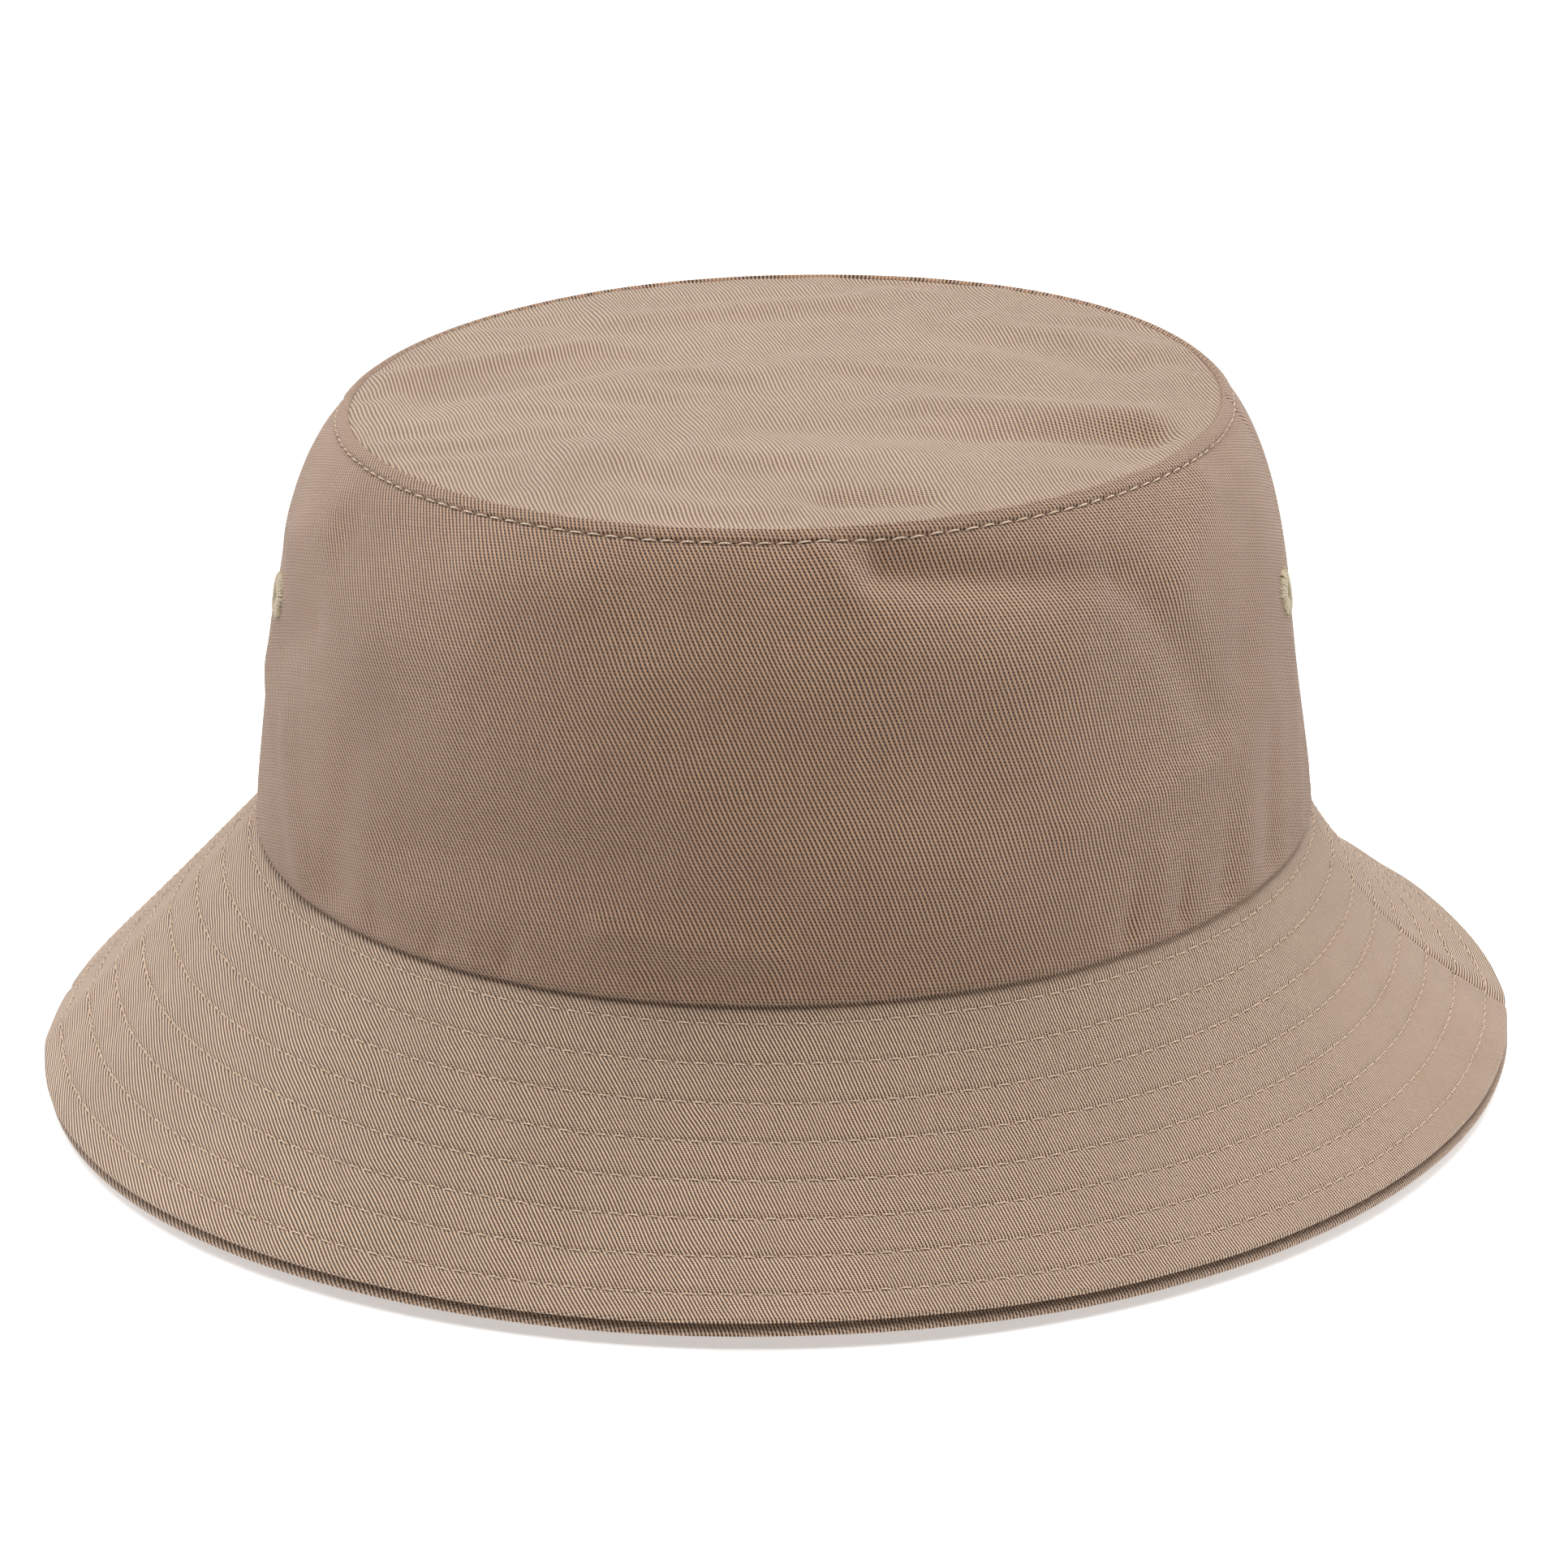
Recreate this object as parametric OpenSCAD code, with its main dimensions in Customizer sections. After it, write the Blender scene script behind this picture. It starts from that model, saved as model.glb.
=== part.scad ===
// Cotton bucket hat, standing on the lower edge of its brim.
// +Z is up, the front of the hat faces -Y, and the origin is under the middle of the hat.
// Every ring is drawn round, as (radius, height) points, and stretched front to back by "oval".

/* [Head opening] */
// Width outside the crown at the brim seam, side to side
opening_w = 186; // [170:1:200]
// Length of the hat divided by its width
oval = 1.054; // [1:0.002:1.12]

/* [Crown] */
// Height of the crown, from the brim seam up to the top seam
crown_h = 72.5; // [60:0.5:85]
// Width of the top panel at its seam, side to side
top_w = 149; // [130:1:158]
// Rise of the middle of the top panel above its seam
dome_h = 2.5; // [0.5:0.5:6]

/* [Brim] */
// Height of the brim seam above the surface that the hat stands on
brim_drop = 43; // [34:1:48]
// Reach of the brim outward from its seam, seen from above
brim_reach = 37; // [30:1:46]
// How far the brim flares like a bell, from 0 (a straight cone) upward
brim_bell = 0.075; // [0:0.005:0.12]
// Rows of stitching round the brim
stitch_rows = 8; // [4:1:8]
// Distance from the brim seam to the first row of stitching
first_row = 3.3; // [2.5:0.1:5]
// Distance from the last row of stitching to the brim's edge
last_row = 4.8; // [3.5:0.1:8]

/* [Cloth] */
// Thickness of one layer of twill
cloth = 0.7; // [0.5:0.05:0.8]
// Thickness of the stiff layer inside the brim
stiffener = 0.8; // [0.4:0.1:1]
// Width of the seam allowances
allowance = 8; // [6:0.5:10]
// Width of the tape over the top seam's allowances
tape_w = 12; // [10:0.5:14]
// Height of the sweatband
sweatband_h = 28; // [22:1:32]

/* [Eyelets] */
// Diameter over the embroidered ring
eyelet_d = 8; // [6.5:0.1:9]
// Diameter of the eyelet's hole
eyelet_hole_d = 2.4; // [2:0.1:3]
// Height of the eyelets above the brim seam
eyelet_h = 42.5; // [34:0.5:46]
// Angle of each eyelet from the side seam, seen from above
eyelet_angle = 11; // [10:0.5:24]
// How far both pairs stand turned round the crown, anticlockwise from above
eyelet_turn = 3; // [-6:0.5:6]

/* [Labels] */
// Width of the size label on the sweatband
size_label_w = 42; // [30:1:60]
// Height of the size label
size_label_h = 17; // [12:1:18]
// Width of the care label that hangs in the crown
care_label_w = 22; // [16:1:26]
// Length of the care label
care_label_l = 34; // [26:1:38]

/* [Hidden] */
$fn = 128;
base_r = opening_w / 2;
top_r = top_w / 2;
top_z = brim_drop + crown_h;
// Shape of the crown's side: a gentle lean, and a shoulder that rounds in under the top seam.
lean_share = 0.5;
shoulder_power = 6.5;
wall_steps = 16;
brim_steps = 10;
// Gap between layers that lie on each other
gap = 0.1;
tape = 0.5;
sweatband = 1.2;
thread_w = 0.5;
thread_h = 0.3;
label = 0.4;
// Depths below the crown's outer surface, counted inward
lip_1 = cloth + gap;
lip_2 = 2 * (cloth + gap);
sweatband_depth = 3 * (cloth + gap) + 4 * gap;
// Depths below the brim's upper surface
stiffener_depth = cloth + gap / 2;
under_depth = cloth + stiffener + gap;
brim_thickness = under_depth + cloth;
// The brim's upper edge stays this much above the surface, and its under layer rests on it.
edge_z = under_depth * 0.74;
side_tape_angle = 7.6;
topstitch_drop = 2.6;
hinge_gap = 0.6;
twill = "#b99c80";
twill_under = "#a88b70";
twill_shade = "#9c8067";
thread_colour = "#d2bb9c";
eyelet_colour = "#b3aa84";
tape_colour = "#ad9177";
white_label = "#ece7dc";

// Share of the crown's taper that is used up at height share t, from 0 at the brim to 1 at the top
function taper(t) = lean_share * t + (1 - lean_share) * pow(max(t, 0), shoulder_power);
function crown_outline(t) = [base_r - (base_r - top_r) * taper(t), brim_drop + crown_h * t];
// Direction square to a path that runs downward and outward
function outward(d) = [-d.y, d.x] / norm(d);
function crown_outward(t) = outward(crown_outline(max(t - 0.01, 0)) - crown_outline(min(t + 0.01, 1)));
// Point at a depth inside the crown's outer surface
function crown_point(t, depth) = crown_outline(t) - depth * crown_outward(t);
// Share of the crown's height that lies at an arc distance below the top seam
shoulder_slope = norm(crown_outline(1) - crown_outline(0.95)) / 0.05;
function below_seam(distance) = 1 - distance / shoulder_slope;

// The brim's upper surface: a curve from the seam (u = 0) through a pulled-in middle to the edge (u = 1)
seam_point = [base_r - lip_1, brim_drop];
edge_point = [base_r + brim_reach, edge_z];
bell_point = seam_point + (0.5 - brim_bell) * [edge_point.x - seam_point.x, 0]
    - (0.5 + brim_bell) * [0, seam_point.y - edge_point.y];
function brim_outline(u) =
    (1 - u) * (1 - u) * seam_point + 2 * u * (1 - u) * bell_point + u * u * edge_point;
function brim_outward(u) = outward((1 - u) * (bell_point - seam_point) + u * (edge_point - bell_point));
// Point at a depth inside the brim
function brim_point(u, depth) = brim_outline(u) - depth * brim_outward(u);
// Width of the brim along its slope, close enough to the curve's own length
brim_length =
    (norm(bell_point - seam_point) + norm(edge_point - bell_point) + norm(edge_point - seam_point)) / 2;
row_pitch = (brim_length - first_row - last_row) / (stitch_rows - 1);
// Share of the brim's width at which row i lies
function row_share(i) = (first_row + (i - 1) * row_pitch) / brim_length;

function reversed(list) = [for (i = [len(list) - 1:-1:0]) list[i]];
function crown_path(from, to, depth, steps) =
    [for (i = [0:steps]) crown_point(from + (to - from) * i / steps, depth)];
// A layer between two depths of the crown's side, from height share "from" down to "to"
function crown_layer(from, to, outer, inner, steps = wall_steps) =
    concat(crown_path(from, to, outer, steps), reversed(crown_path(from, to, inner, steps)));
// A brim layer's face: up inside the crown for the seam allowance, then out to the brim's edge
function brim_face(lip_depth, depth) = concat(
    [for (i = [0:2]) crown_point(allowance / crown_h * (3 - i) / 3, lip_depth)],
    [for (i = [0:brim_steps]) brim_point(i / brim_steps, depth)]);

module oval_arc(points, start, angle) {
    scale([1, oval, 1]) rotate_extrude(angle = angle, start = start) polygon(points);
}

module front_half(points) { oval_arc(points, 180, 180); }

module back_half(points) { oval_arc(points, 0, 180); }

module oval_ring(points) {
    front_half(points);
    back_half(points);
}

// A ring of sewing thread that stands on a surface at a point, square to "out"
module thread_ring(point, out) {
    along = [out.y, -out.x];
    foot = point + 0.03 * out;
    crest = foot + thread_h * out;
    oval_ring([foot - along * thread_w / 2, foot + along * thread_w / 2,
        crest + along * thread_w / 4, crest - along * thread_w / 4]);
}

// Puts its children on the crown's outer surface at an eyelet, with +Z pointing straight out.
// side is 1 for the right (+X) and -1 for the left, as seen from the front; end is -1 for the front
// and 1 for the back.
module at_eyelet(side, end) {
    t = eyelet_h / crown_h;
    p = crown_outline(t);
    steep = crown_outward(t);
    a = eyelet_angle + side * end * eyelet_turn;
    out = [side * cos(a), end * sin(a) / oval, steep.y / steep.x];
    translate([side * p.x * cos(a), end * oval * p.x * sin(a), p.y])
        rotate([0, acos(out.z / norm(out)), atan2(out.y, out.x)])
            children();
}

// The embroidered ring: a tube of thread through the cloth with a rounded rim on each face
module eyelet(side, end) {
    hole_r = eyelet_hole_d / 2;
    rim_r = eyelet_d / 2;
    throat_r = hole_r + 0.75;
    rim_h = 0.7;
    inner_rim_h = 0.45;
    clear = 0.12;
    color(eyelet_colour) at_eyelet(side, end) rotate_extrude($fn = 64) polygon([
        [hole_r, rim_h], [hole_r + 0.5, rim_h + 0.2], [rim_r - 1, rim_h + 0.1],
        [rim_r - 0.2, rim_h * 0.6], [rim_r, clear], [throat_r, clear],
        [throat_r, -cloth - clear], [rim_r - 0.4, -cloth - clear],
        [rim_r - 0.6, -cloth - inner_rim_h], [hole_r, -cloth - inner_rim_h - clear]]);
}

module eyelet_holes(end) {
    for (side = [-1, 1]) at_eyelet(side, end)
        translate([0, 0, -3]) cylinder(h = 6, d = eyelet_hole_d + 1.6, $fn = 48);
}

crown_panel = crown_layer(1, 0, 0, cloth);

module crown_band_front() {
    color(twill) difference() {
        front_half(crown_panel);
        eyelet_holes(-1);
    }
}

module crown_band_back() {
    color(twill) difference() {
        back_half(crown_panel);
        eyelet_holes(1);
    }
}

// The top panel: a low dome whose edge turns down inside the shoulder as its seam allowance
module crown_top() {
    edge = crown_point(1, lip_1);
    lip_from = below_seam(1.2);
    lip_to = below_seam(allowance);
    dome_steps = 6;
    function dome(s, depth) = [edge.x * s, edge.y + cloth + dome_h * (1 - s * s) - depth];
    color(twill) oval_ring(concat(
        [for (i = [0:dome_steps]) dome(i / dome_steps * 0.985, 0)],
        crown_path(lip_from, lip_to, lip_1, 3),
        reversed(crown_path(lip_from, lip_to, lip_1 + cloth, 3)),
        [for (i = [dome_steps:-1:0]) dome(i / dome_steps * 0.97, cloth)]));
}

brim_top_layer = concat(brim_face(lip_1, 0), reversed(brim_face(lip_1 + cloth, cloth)));
brim_under_layer =
    concat(brim_face(lip_2, under_depth), reversed(brim_face(lip_2 + cloth, brim_thickness)));

module brim_top_front() { color(twill) front_half(brim_top_layer); }

module brim_top_back() { color(twill) back_half(brim_top_layer); }

// The surface that the hat stands on, which flattens the under cloth's folded edge
module standing_surface() {
    size = 3 * (base_r + brim_reach);
    translate([-size / 2, -size / 2, -5]) cube([size, size, 5]);
}

module brim_under_front() {
    color(twill_under) difference() {
        front_half(brim_under_layer);
        standing_surface();
    }
}

module brim_under_back() {
    color(twill_under) difference() {
        back_half(brim_under_layer);
        standing_surface();
    }
}

// The stiff layer between the two brim cloths, stopping short of the seam and of the edge
module brim_interlining() {
    from = 0.03;
    to = 0.96;
    color("white") oval_ring(concat(
        [for (i = [0:brim_steps]) brim_point(from + (to - from) * i / brim_steps, stiffener_depth)],
        [for (i = [brim_steps:-1:0])
            brim_point(from + (to - from) * i / brim_steps, stiffener_depth + stiffener)]));
}

// One row of brim stitching: needle thread on the upper face and bobbin thread below it
module brim_stitch_row(i) {
    u = row_share(i);
    color(thread_colour) {
        thread_ring(brim_point(u, 0), brim_outward(u));
        thread_ring(brim_point(u, brim_thickness), -brim_outward(u));
    }
}

module crown_topstitch() {
    t = below_seam(topstitch_drop);
    color(thread_colour) thread_ring(crown_point(t, 0), crown_outward(t));
}

module sweatband() {
    color(tape_colour)
        oval_ring(crown_layer(sweatband_h / crown_h, 0, sweatband_depth, sweatband_depth + sweatband, 6));
}

module sweatband_stitch() {
    t = 2.5 / crown_h;
    color(thread_colour)
        thread_ring(crown_point(t, sweatband_depth + sweatband), -crown_outward(t));
}

// The tape that covers the raw edges of the top seam inside the crown
module top_seam_tape() {
    depth = lip_2 + gap;
    color(tape_colour)
        oval_ring(crown_layer(below_seam(1.5), below_seam(1.5 + tape_w), depth, depth + tape, 5));
}

module side_seam_tape(side) {
    depth = lip_1;
    top = below_seam(tape_w + 2.5);
    bottom = (sweatband_h + 1) / crown_h;
    middle = side > 0 ? 0 : 180;
    color(tape_colour)
        oval_arc(crown_layer(top, bottom, depth, depth + tape, 6),
            middle - side_tape_angle / 2, side_tape_angle);
}

// The blank size label, sewn on the sweatband at the back
size_label_depth = sweatband_depth + sweatband + gap;
size_label_angle = size_label_w / (2 * PI * (base_r - size_label_depth)) * 360;
size_label_from = (sweatband_h - 4) / crown_h;
size_label_to = (sweatband_h - 4 - size_label_h) / crown_h;

module size_label() {
    color(white_label)
        oval_arc(
            crown_layer(size_label_from, size_label_to, size_label_depth, size_label_depth + label, 3),
            90 - size_label_angle / 2, size_label_angle);
}

module size_label_stitch() {
    color(thread_colour) for (t = [size_label_from - 0.02, size_label_to + 0.02]) {
        p = crown_point(t, size_label_depth + label + 0.03);
        q = crown_point(t, size_label_depth + label + 0.03 + thread_h);
        half = [0, thread_w / 2];
        oval_arc([p + half, p - half, q - half / 2, q + half / 2],
            90 - size_label_angle * 0.47, size_label_angle * 0.94);
    }
}

// The blank care label: a folded strip that hangs from the top seam's tape on the -X side
care_t = below_seam(1.5 + tape_w);
care_hinge = crown_point(care_t, lip_2 + gap + tape) - [label, hinge_gap];

module care_label() {
    color(white_label) translate([-care_hinge.x, 0, care_hinge.y - care_label_l])
        linear_extrude(height = care_label_l) square([2 * label, care_label_w], center = true);
}

sides = [["right", 1], ["left", -1]];
ends = [["front", -1], ["back", 1]];

crown_top();
crown_band_front();
crown_band_back();
brim_top_front();
brim_top_back();
brim_under_front();
brim_under_back();
brim_interlining();
crown_topstitch();
for (i = [1:stitch_rows])
    brim_stitch_row(i);
for (s = sides, e = ends)
    eyelet(s[1], e[1]);
sweatband();
sweatband_stitch();
top_seam_tape();
side_seam_tape(-1);  // side_seam_tape_left
side_seam_tape(1);  // side_seam_tape_right
size_label();
size_label_stitch();
care_label();
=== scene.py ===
"""The looks of a cotton twill bucket hat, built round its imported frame.

Lengths in this script are millimetres and turn into metres as each mesh is made. A place on the hat is
an angle round it, 0 at the front (-Y) and growing towards the right (+X), and a share of a cloth's
width: up the crown from 0 at the brim seam to 1 at the top seam, or out over the brim from 0 at the
seam to 1 at the edge.
"""
import math

import bpy
import numpy as np
from mathutils import Matrix, Vector


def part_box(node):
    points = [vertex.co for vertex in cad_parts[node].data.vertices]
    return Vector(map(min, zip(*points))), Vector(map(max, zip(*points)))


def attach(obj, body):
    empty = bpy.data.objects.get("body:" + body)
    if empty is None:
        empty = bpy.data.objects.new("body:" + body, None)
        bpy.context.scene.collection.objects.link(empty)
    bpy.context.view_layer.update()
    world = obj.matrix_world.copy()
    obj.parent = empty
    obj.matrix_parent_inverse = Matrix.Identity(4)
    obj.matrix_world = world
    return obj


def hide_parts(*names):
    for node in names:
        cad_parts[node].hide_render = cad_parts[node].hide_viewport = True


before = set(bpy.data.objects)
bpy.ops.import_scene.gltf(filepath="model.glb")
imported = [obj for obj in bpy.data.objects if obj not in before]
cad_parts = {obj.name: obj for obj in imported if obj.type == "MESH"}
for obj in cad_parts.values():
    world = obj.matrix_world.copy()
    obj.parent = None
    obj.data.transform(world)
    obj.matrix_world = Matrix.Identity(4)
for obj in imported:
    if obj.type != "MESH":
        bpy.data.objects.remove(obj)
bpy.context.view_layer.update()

MM = 0.001
TURN = 2 * math.pi


# ---------------------------------------------------------------- sizes, from the frame

def node_box(node):
    low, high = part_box(node)
    return np.array(low) / MM, np.array(high) / MM


def middle(node):
    low, high = node_box(node)
    return (low + high) / 2


band_low, band_high = node_box("crown_band_front")
brim_low, brim_high = node_box("brim_top_front")
sweat_low, sweat_high = node_box("sweatband")
care_low, care_high = node_box("care_label")
tape_low = node_box("top_seam_tape")[0]
SEAM_Z, TOP_Z = band_low[2], band_high[2]
SEAM_X, SEAM_Y = band_high[0], -band_low[1]
EDGE_X, EDGE_Y = brim_high[0], -brim_low[1]
EDGE_Z = 5.2  # height of the upper cloth's edge
TOP_X, TOP_Y = 74.5, 78.5  # half the width and half the length of the top panel at its seam
CLOTH = 0.7  # thickness of one layer
STITCH = 3.1  # length of one stitch
ROWS = 8  # rows of stitching round the brim

# The rings are drawn a little uneven, as sewn cloth hangs. Each swell is listed as the direction it
# faces and its half width, in degrees round the hat from the front by way of the right, and its size in mm.
SEAM_REACH = ((-90, 50, -2.0),)
SEAM_RISE = ()
TOP_REACH = ((-90, 45, -1.5), (90, 40, 2.3))
TOP_RISE = ((-110, 40, -1.2), (135, 35, 1.2))
EDGE_REACH = ((-115, 30, -1.8), (-50, 25, 2.0), (115, 35, -2.0), (60, 35, -0.7), (10, 40, -1.5))
EDGE_RISE = ((-90, 35, -2.0),)

# The crown's side leans in evenly over its height and rounds in under the top seam.
CROWN_LEAN = 0.5  # share of the taper that the even lean takes
SHOULDER_POWER = 6.5  # how late the rounding starts


def bump(x, centre, width):
    return np.exp(-((x - centre) / width) ** 2)


def swells(angle, table):
    total = 0 * angle
    for towards, half_width, size in table:
        total = total + size * bump((np.degrees(angle) - towards + 180) % 360 - 180, 0, half_width)
    return total


def ring(angle, half_w, half_l, height, reach, rise):
    """A closed uneven oval round the hat, as points."""
    r = 1 + swells(angle, reach) / half_w
    return np.stack([half_w * np.sin(angle) * r, -half_l * np.cos(angle) * r,
                     height + swells(angle, rise) + 0 * angle], -1)


def seam_ring(angle):
    """The brim seam, 0.2 mm below the band's lower edge."""
    return ring(angle, SEAM_X, SEAM_Y, SEAM_Z - 0.2, SEAM_REACH, SEAM_RISE)


def top_ring(angle):
    """The top seam, 0.4 mm above the band's upper edge."""
    return ring(angle, TOP_X, TOP_Y, TOP_Z + 0.4, TOP_REACH, TOP_RISE)


def edge_ring(angle):
    return ring(angle, EDGE_X, EDGE_Y, EDGE_Z, EDGE_REACH, EDGE_RISE)


def creases(x, y, table, x_mm=1.0, y_mm=1.0, around=None):
    """Height of soft folds, in mm.

    Each row is (x, y) at one end, (x, y) at the other, the half width in mm, and the height in mm at each
    end. x_mm and y_mm are the lengths of one x and one y, and x starts again after around.
    """
    total = 0.0
    for x0, y0, x1, y1, width, start, end in table:
        px = x - x0 if around is None else (x - x0 + around / 2) % around - around / 2
        px, py = px * x_mm, (y - y0) * y_mm
        dx, dy = (x1 - x0) * x_mm, (y1 - y0) * y_mm
        k = np.clip((px * dx + py * dy) / (dx * dx + dy * dy), 0, 1)
        away = np.hypot(px - k * dx, py - k * dy)
        total = total + (start + (end - start) * k) * np.exp(-(away / width) ** 2)
    return total


# ---------------------------------------------------------------- the cloth surfaces

def square_place(angle, s):
    """The place, -1 to 1 each way, on a square whose rings are the panel's. A side takes a quarter turn."""
    side = np.round(angle / (math.pi / 2))
    along = (angle - side * math.pi / 2) / (math.pi / 4) * s
    side = side.astype(int) % 4
    i = np.choose(side, [s, -along, -s, along])
    j = np.choose(side, [along, s, -along, -s])
    return i, j


def ring_place(i, j):
    """The angle and the ring s of a place on that square."""
    wide = np.abs(i) >= np.abs(j)
    long_side = np.where(wide, i, j)
    slope = np.where(wide, j, i) / np.where(long_side == 0, 1, long_side) * math.pi / 4
    angle = np.where(wide, slope, math.pi / 2 - slope) + np.where(long_side < 0, math.pi, 0)
    return angle, np.maximum(np.abs(i), np.abs(j))


def spline(values, x, y, around=False):
    """Smooth value of a grid at (x, y), in grid steps. x starts again at its end if the grid goes around."""
    total = 0.0
    xi, yi = np.floor(x).astype(int), np.floor(y).astype(int)

    def weights(f):
        return ((1 - f) ** 3 / 6, (3 * f ** 3 - 6 * f ** 2 + 4) / 6,
                (-3 * f ** 3 + 3 * f ** 2 + 3 * f + 1) / 6, f ** 3 / 6)

    for i, wx in enumerate(weights(x - xi)):
        gx = (xi + i - 1) % len(values) if around else np.clip(xi + i - 1, 0, len(values) - 1)
        for j, wy in enumerate(weights(y - yi)):
            total = total + wx * wy * values[gx, np.clip(yi + j - 1, 0, values.shape[1] - 1)]
    return total


# How far the cloth simulation below moved each point of its coarse grids, outward or up, in mm
PANEL_STEPS = 30
COLUMNS, BAND_STEPS = 8 * PANEL_STEPS, 28
settled_band = np.zeros((COLUMNS, BAND_STEPS + 1))
settled_panel = np.zeros((2 * PANEL_STEPS + 1, 2 * PANEL_STEPS + 1))


def band_settling(angle, t):
    return spline(settled_band, angle % TURN / TURN * COLUMNS, np.clip(t, 0, 1) * BAND_STEPS, True)


def panel_settling(angle, s):
    i, j = square_place(angle, s)
    return spline(settled_panel, (i + 1) * PANEL_STEPS, (j + 1) * PANEL_STEPS)


def crown_raw(angle, t):
    low, high = seam_ring(angle), top_ring(angle)
    tt = np.clip(t, 0, None)
    g = (CROWN_LEAN * t + (1 - CROWN_LEAN) * tt ** SHOULDER_POWER)[..., None]
    p = low + (high - low) * g
    p[..., 2] = low[..., 2] + (high[..., 2] - low[..., 2]) * t
    return p


def normals_of(surface, angle, share, side=1):
    e = 1e-3
    along = surface(angle + e, share) - surface(angle - e, share)
    across = surface(angle, share + e) - surface(angle, share - e)
    n = side * np.cross(along, across)
    return n / np.linalg.norm(n, axis=-1, keepdims=True)


CROWN_CREASES = (  # in degrees round the hat and shares up the crown
    # the crescent dent under the top seam, with the fuller cloth below it
    (17, 0.92, 45, 0.835, 3.5, -2.7, -1.2), (10, 0.97, 13, 0.88, 2.6, 0.8, 0.7),
    (18, 0.74, 38, 0.69, 7.0, 1.3, 1.1), (48, 0.80, 58, 0.44, 5.0, -1.3, -0.8),
    (36, 0.31, 60, 0.37, 3.4, 0.6, 0.9), (56, 0.78, 66, 0.92, 5.5, 0.9, 0.9),
    (66, 0.56, 74, 0.80, 6.0, -0.8, -0.6), (80, 0.52, 84, 0.66, 5.0, 0.5, 0.3),
    # puckers over the brim seam, right
    (42, 0.02, 44, 0.19, 1.9, -0.9, -0.2), (46.5, 0.02, 48, 0.2, 1.7, 0.5, 0.2),
    (50, 0.02, 51, 0.16, 1.7, -0.8, -0.2), (57, 0.02, 59, 0.2, 2.3, -0.7, -0.2),
    (62, 0.04, 65, 0.36, 3.2, 0.6, 0.3), (68, 0.03, 71, 0.33, 3.6, -0.8, -0.4),
    (78, 0.05, 83, 0.45, 4.2, 0.6, 0.4),
    # puckers over the brim seam, left and middle
    (-33, 0.01, -32, 0.10, 1.8, -0.7, -0.1), (-24, 0.01, -23, 0.13, 1.8, -0.8, -0.1),
    (-28, 0.01, -28, 0.12, 1.8, 0.4, 0.1), (-41, 0.01, -42, 0.12, 2.0, -0.6, -0.1),
    (-13, 0.155, 4, 0.115, 2.4, 0.9, 0.7), (-8, 0.06, 8, 0.05, 2.2, -0.5, -0.3),
    (-56, 0.06, -64, 0.34, 5.0, 1.2, 0.8), (-49, 0.10, -47, 0.40, 5.0, -1.0, -0.6),
    (-60, 0.62, -70, 0.50, 5.0, -0.9, -0.7), (-72, 0.74, -60, 0.84, 5.5, 0.9, 0.7),
    (-78, 0.40, -70, 0.30, 4.5, 0.7, 0.5), (-84, 0.60, -76, 0.70, 5.0, -0.7, -0.6),
    # broad soft hollows and swells
    (-32, 0.865, -18, 0.875, 5.0, 0.7, 0.7), (-10, 0.84, 8, 0.80, 8.0, -1.0, -1.0),
    (-54, 0.86, -38, 0.90, 6.0, -1.1, -0.7), (-30, 0.56, -6, 0.42, 9.0, 0.9, 0.8),
    (-4, 0.62, 24, 0.50, 8.0, -0.8, -0.8), (0, 0.34, 24, 0.26, 8.0, 0.8, 0.8),
    (-36, 0.24, -10, 0.31, 6.5, -0.8, -0.7), (-46, 0.66, -30, 0.72, 6.5, 0.8, 0.6),
    # the back, out of sight in front
    (148, 0.30, 152, 0.75, 5.0, 0.9, 0.8), (170, 0.25, 174, 0.65, 6.0, -0.8, -0.9),
    (196, 0.55, 214, 0.88, 4.5, 0.9, 0.7), (226, 0.20, 231, 0.62, 4.5, -0.8, -0.7),
    (120, 0.03, 122, 0.25, 2.4, -0.8, -0.3), (137, 0.02, 136, 0.18, 2.0, -0.7, -0.2),
    (184, 0.02, 183, 0.2, 2.0, -0.7, -0.2), (202, 0.02, 204, 0.22, 2.2, -0.8, -0.2),
    (238, 0.02, 240, 0.2, 2.0, -0.7, -0.2), (160, 0.88, 186, 0.84, 4.0, -1.0, -0.8))


def crown_folds(angle, t):
    """Dents and folds of the crown's side, outward in mm."""
    f = 0.35 * np.sin(3 * angle + 0.6) * np.sin(math.pi * t)
    f = f + creases(np.degrees(angle), t, CROWN_CREASES, x_mm=1.55, y_mm=75.0, around=360.0)
    return f * np.clip(t / 0.05, 0, 1) * np.clip((1.005 - t) / 0.04, 0, 1)


def crown_surface(angle, t, depth=0.0):
    """Points of the crown's side, at a depth inside its outer face."""
    angle, t = np.broadcast_arrays(angle, t)
    n = normals_of(crown_raw, angle, t)
    return crown_raw(angle, t) + n * (crown_folds(angle, t) + band_settling(angle, t) - depth)[..., None]


PANEL_CREASES = (  # in mm to the right and to the back of the panel's middle
    # the fold at the right, with the slot in front of it
    (26, -10, 62, -15, 5.6, 0.8, 1.9), (38, -25, 64, -23, 4.2, -0.8, -2.6),
    (36, -33, 60, -34, 6.5, -0.5, -1.0), (0, -24, 34, -27, 7.0, -0.5, -0.9),
    # the rest of the panel
    (-66, 8, -34, 27, 5.0, 1.5, 1.0), (-58, -4, -26, 14, 6.5, -1.1, -0.6),
    (14, -63, 28, -62, 3.4, -1.5, -1.2), (36, 44, 64, 26, 5.5, 0.7, 0.7), (30, 34, 58, 14, 6.0, -0.5, -0.5),
    (-24, -40, 24, -44, 10.0, 0.9, 0.9), (-30, 44, 10, 58, 6.0, 1.0, 0.8), (-24, 2, 16, 16, 9.0, 0.9, 0.7))


PANEL_DOME = 1.6  # rise of the panel's middle above its seam


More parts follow.
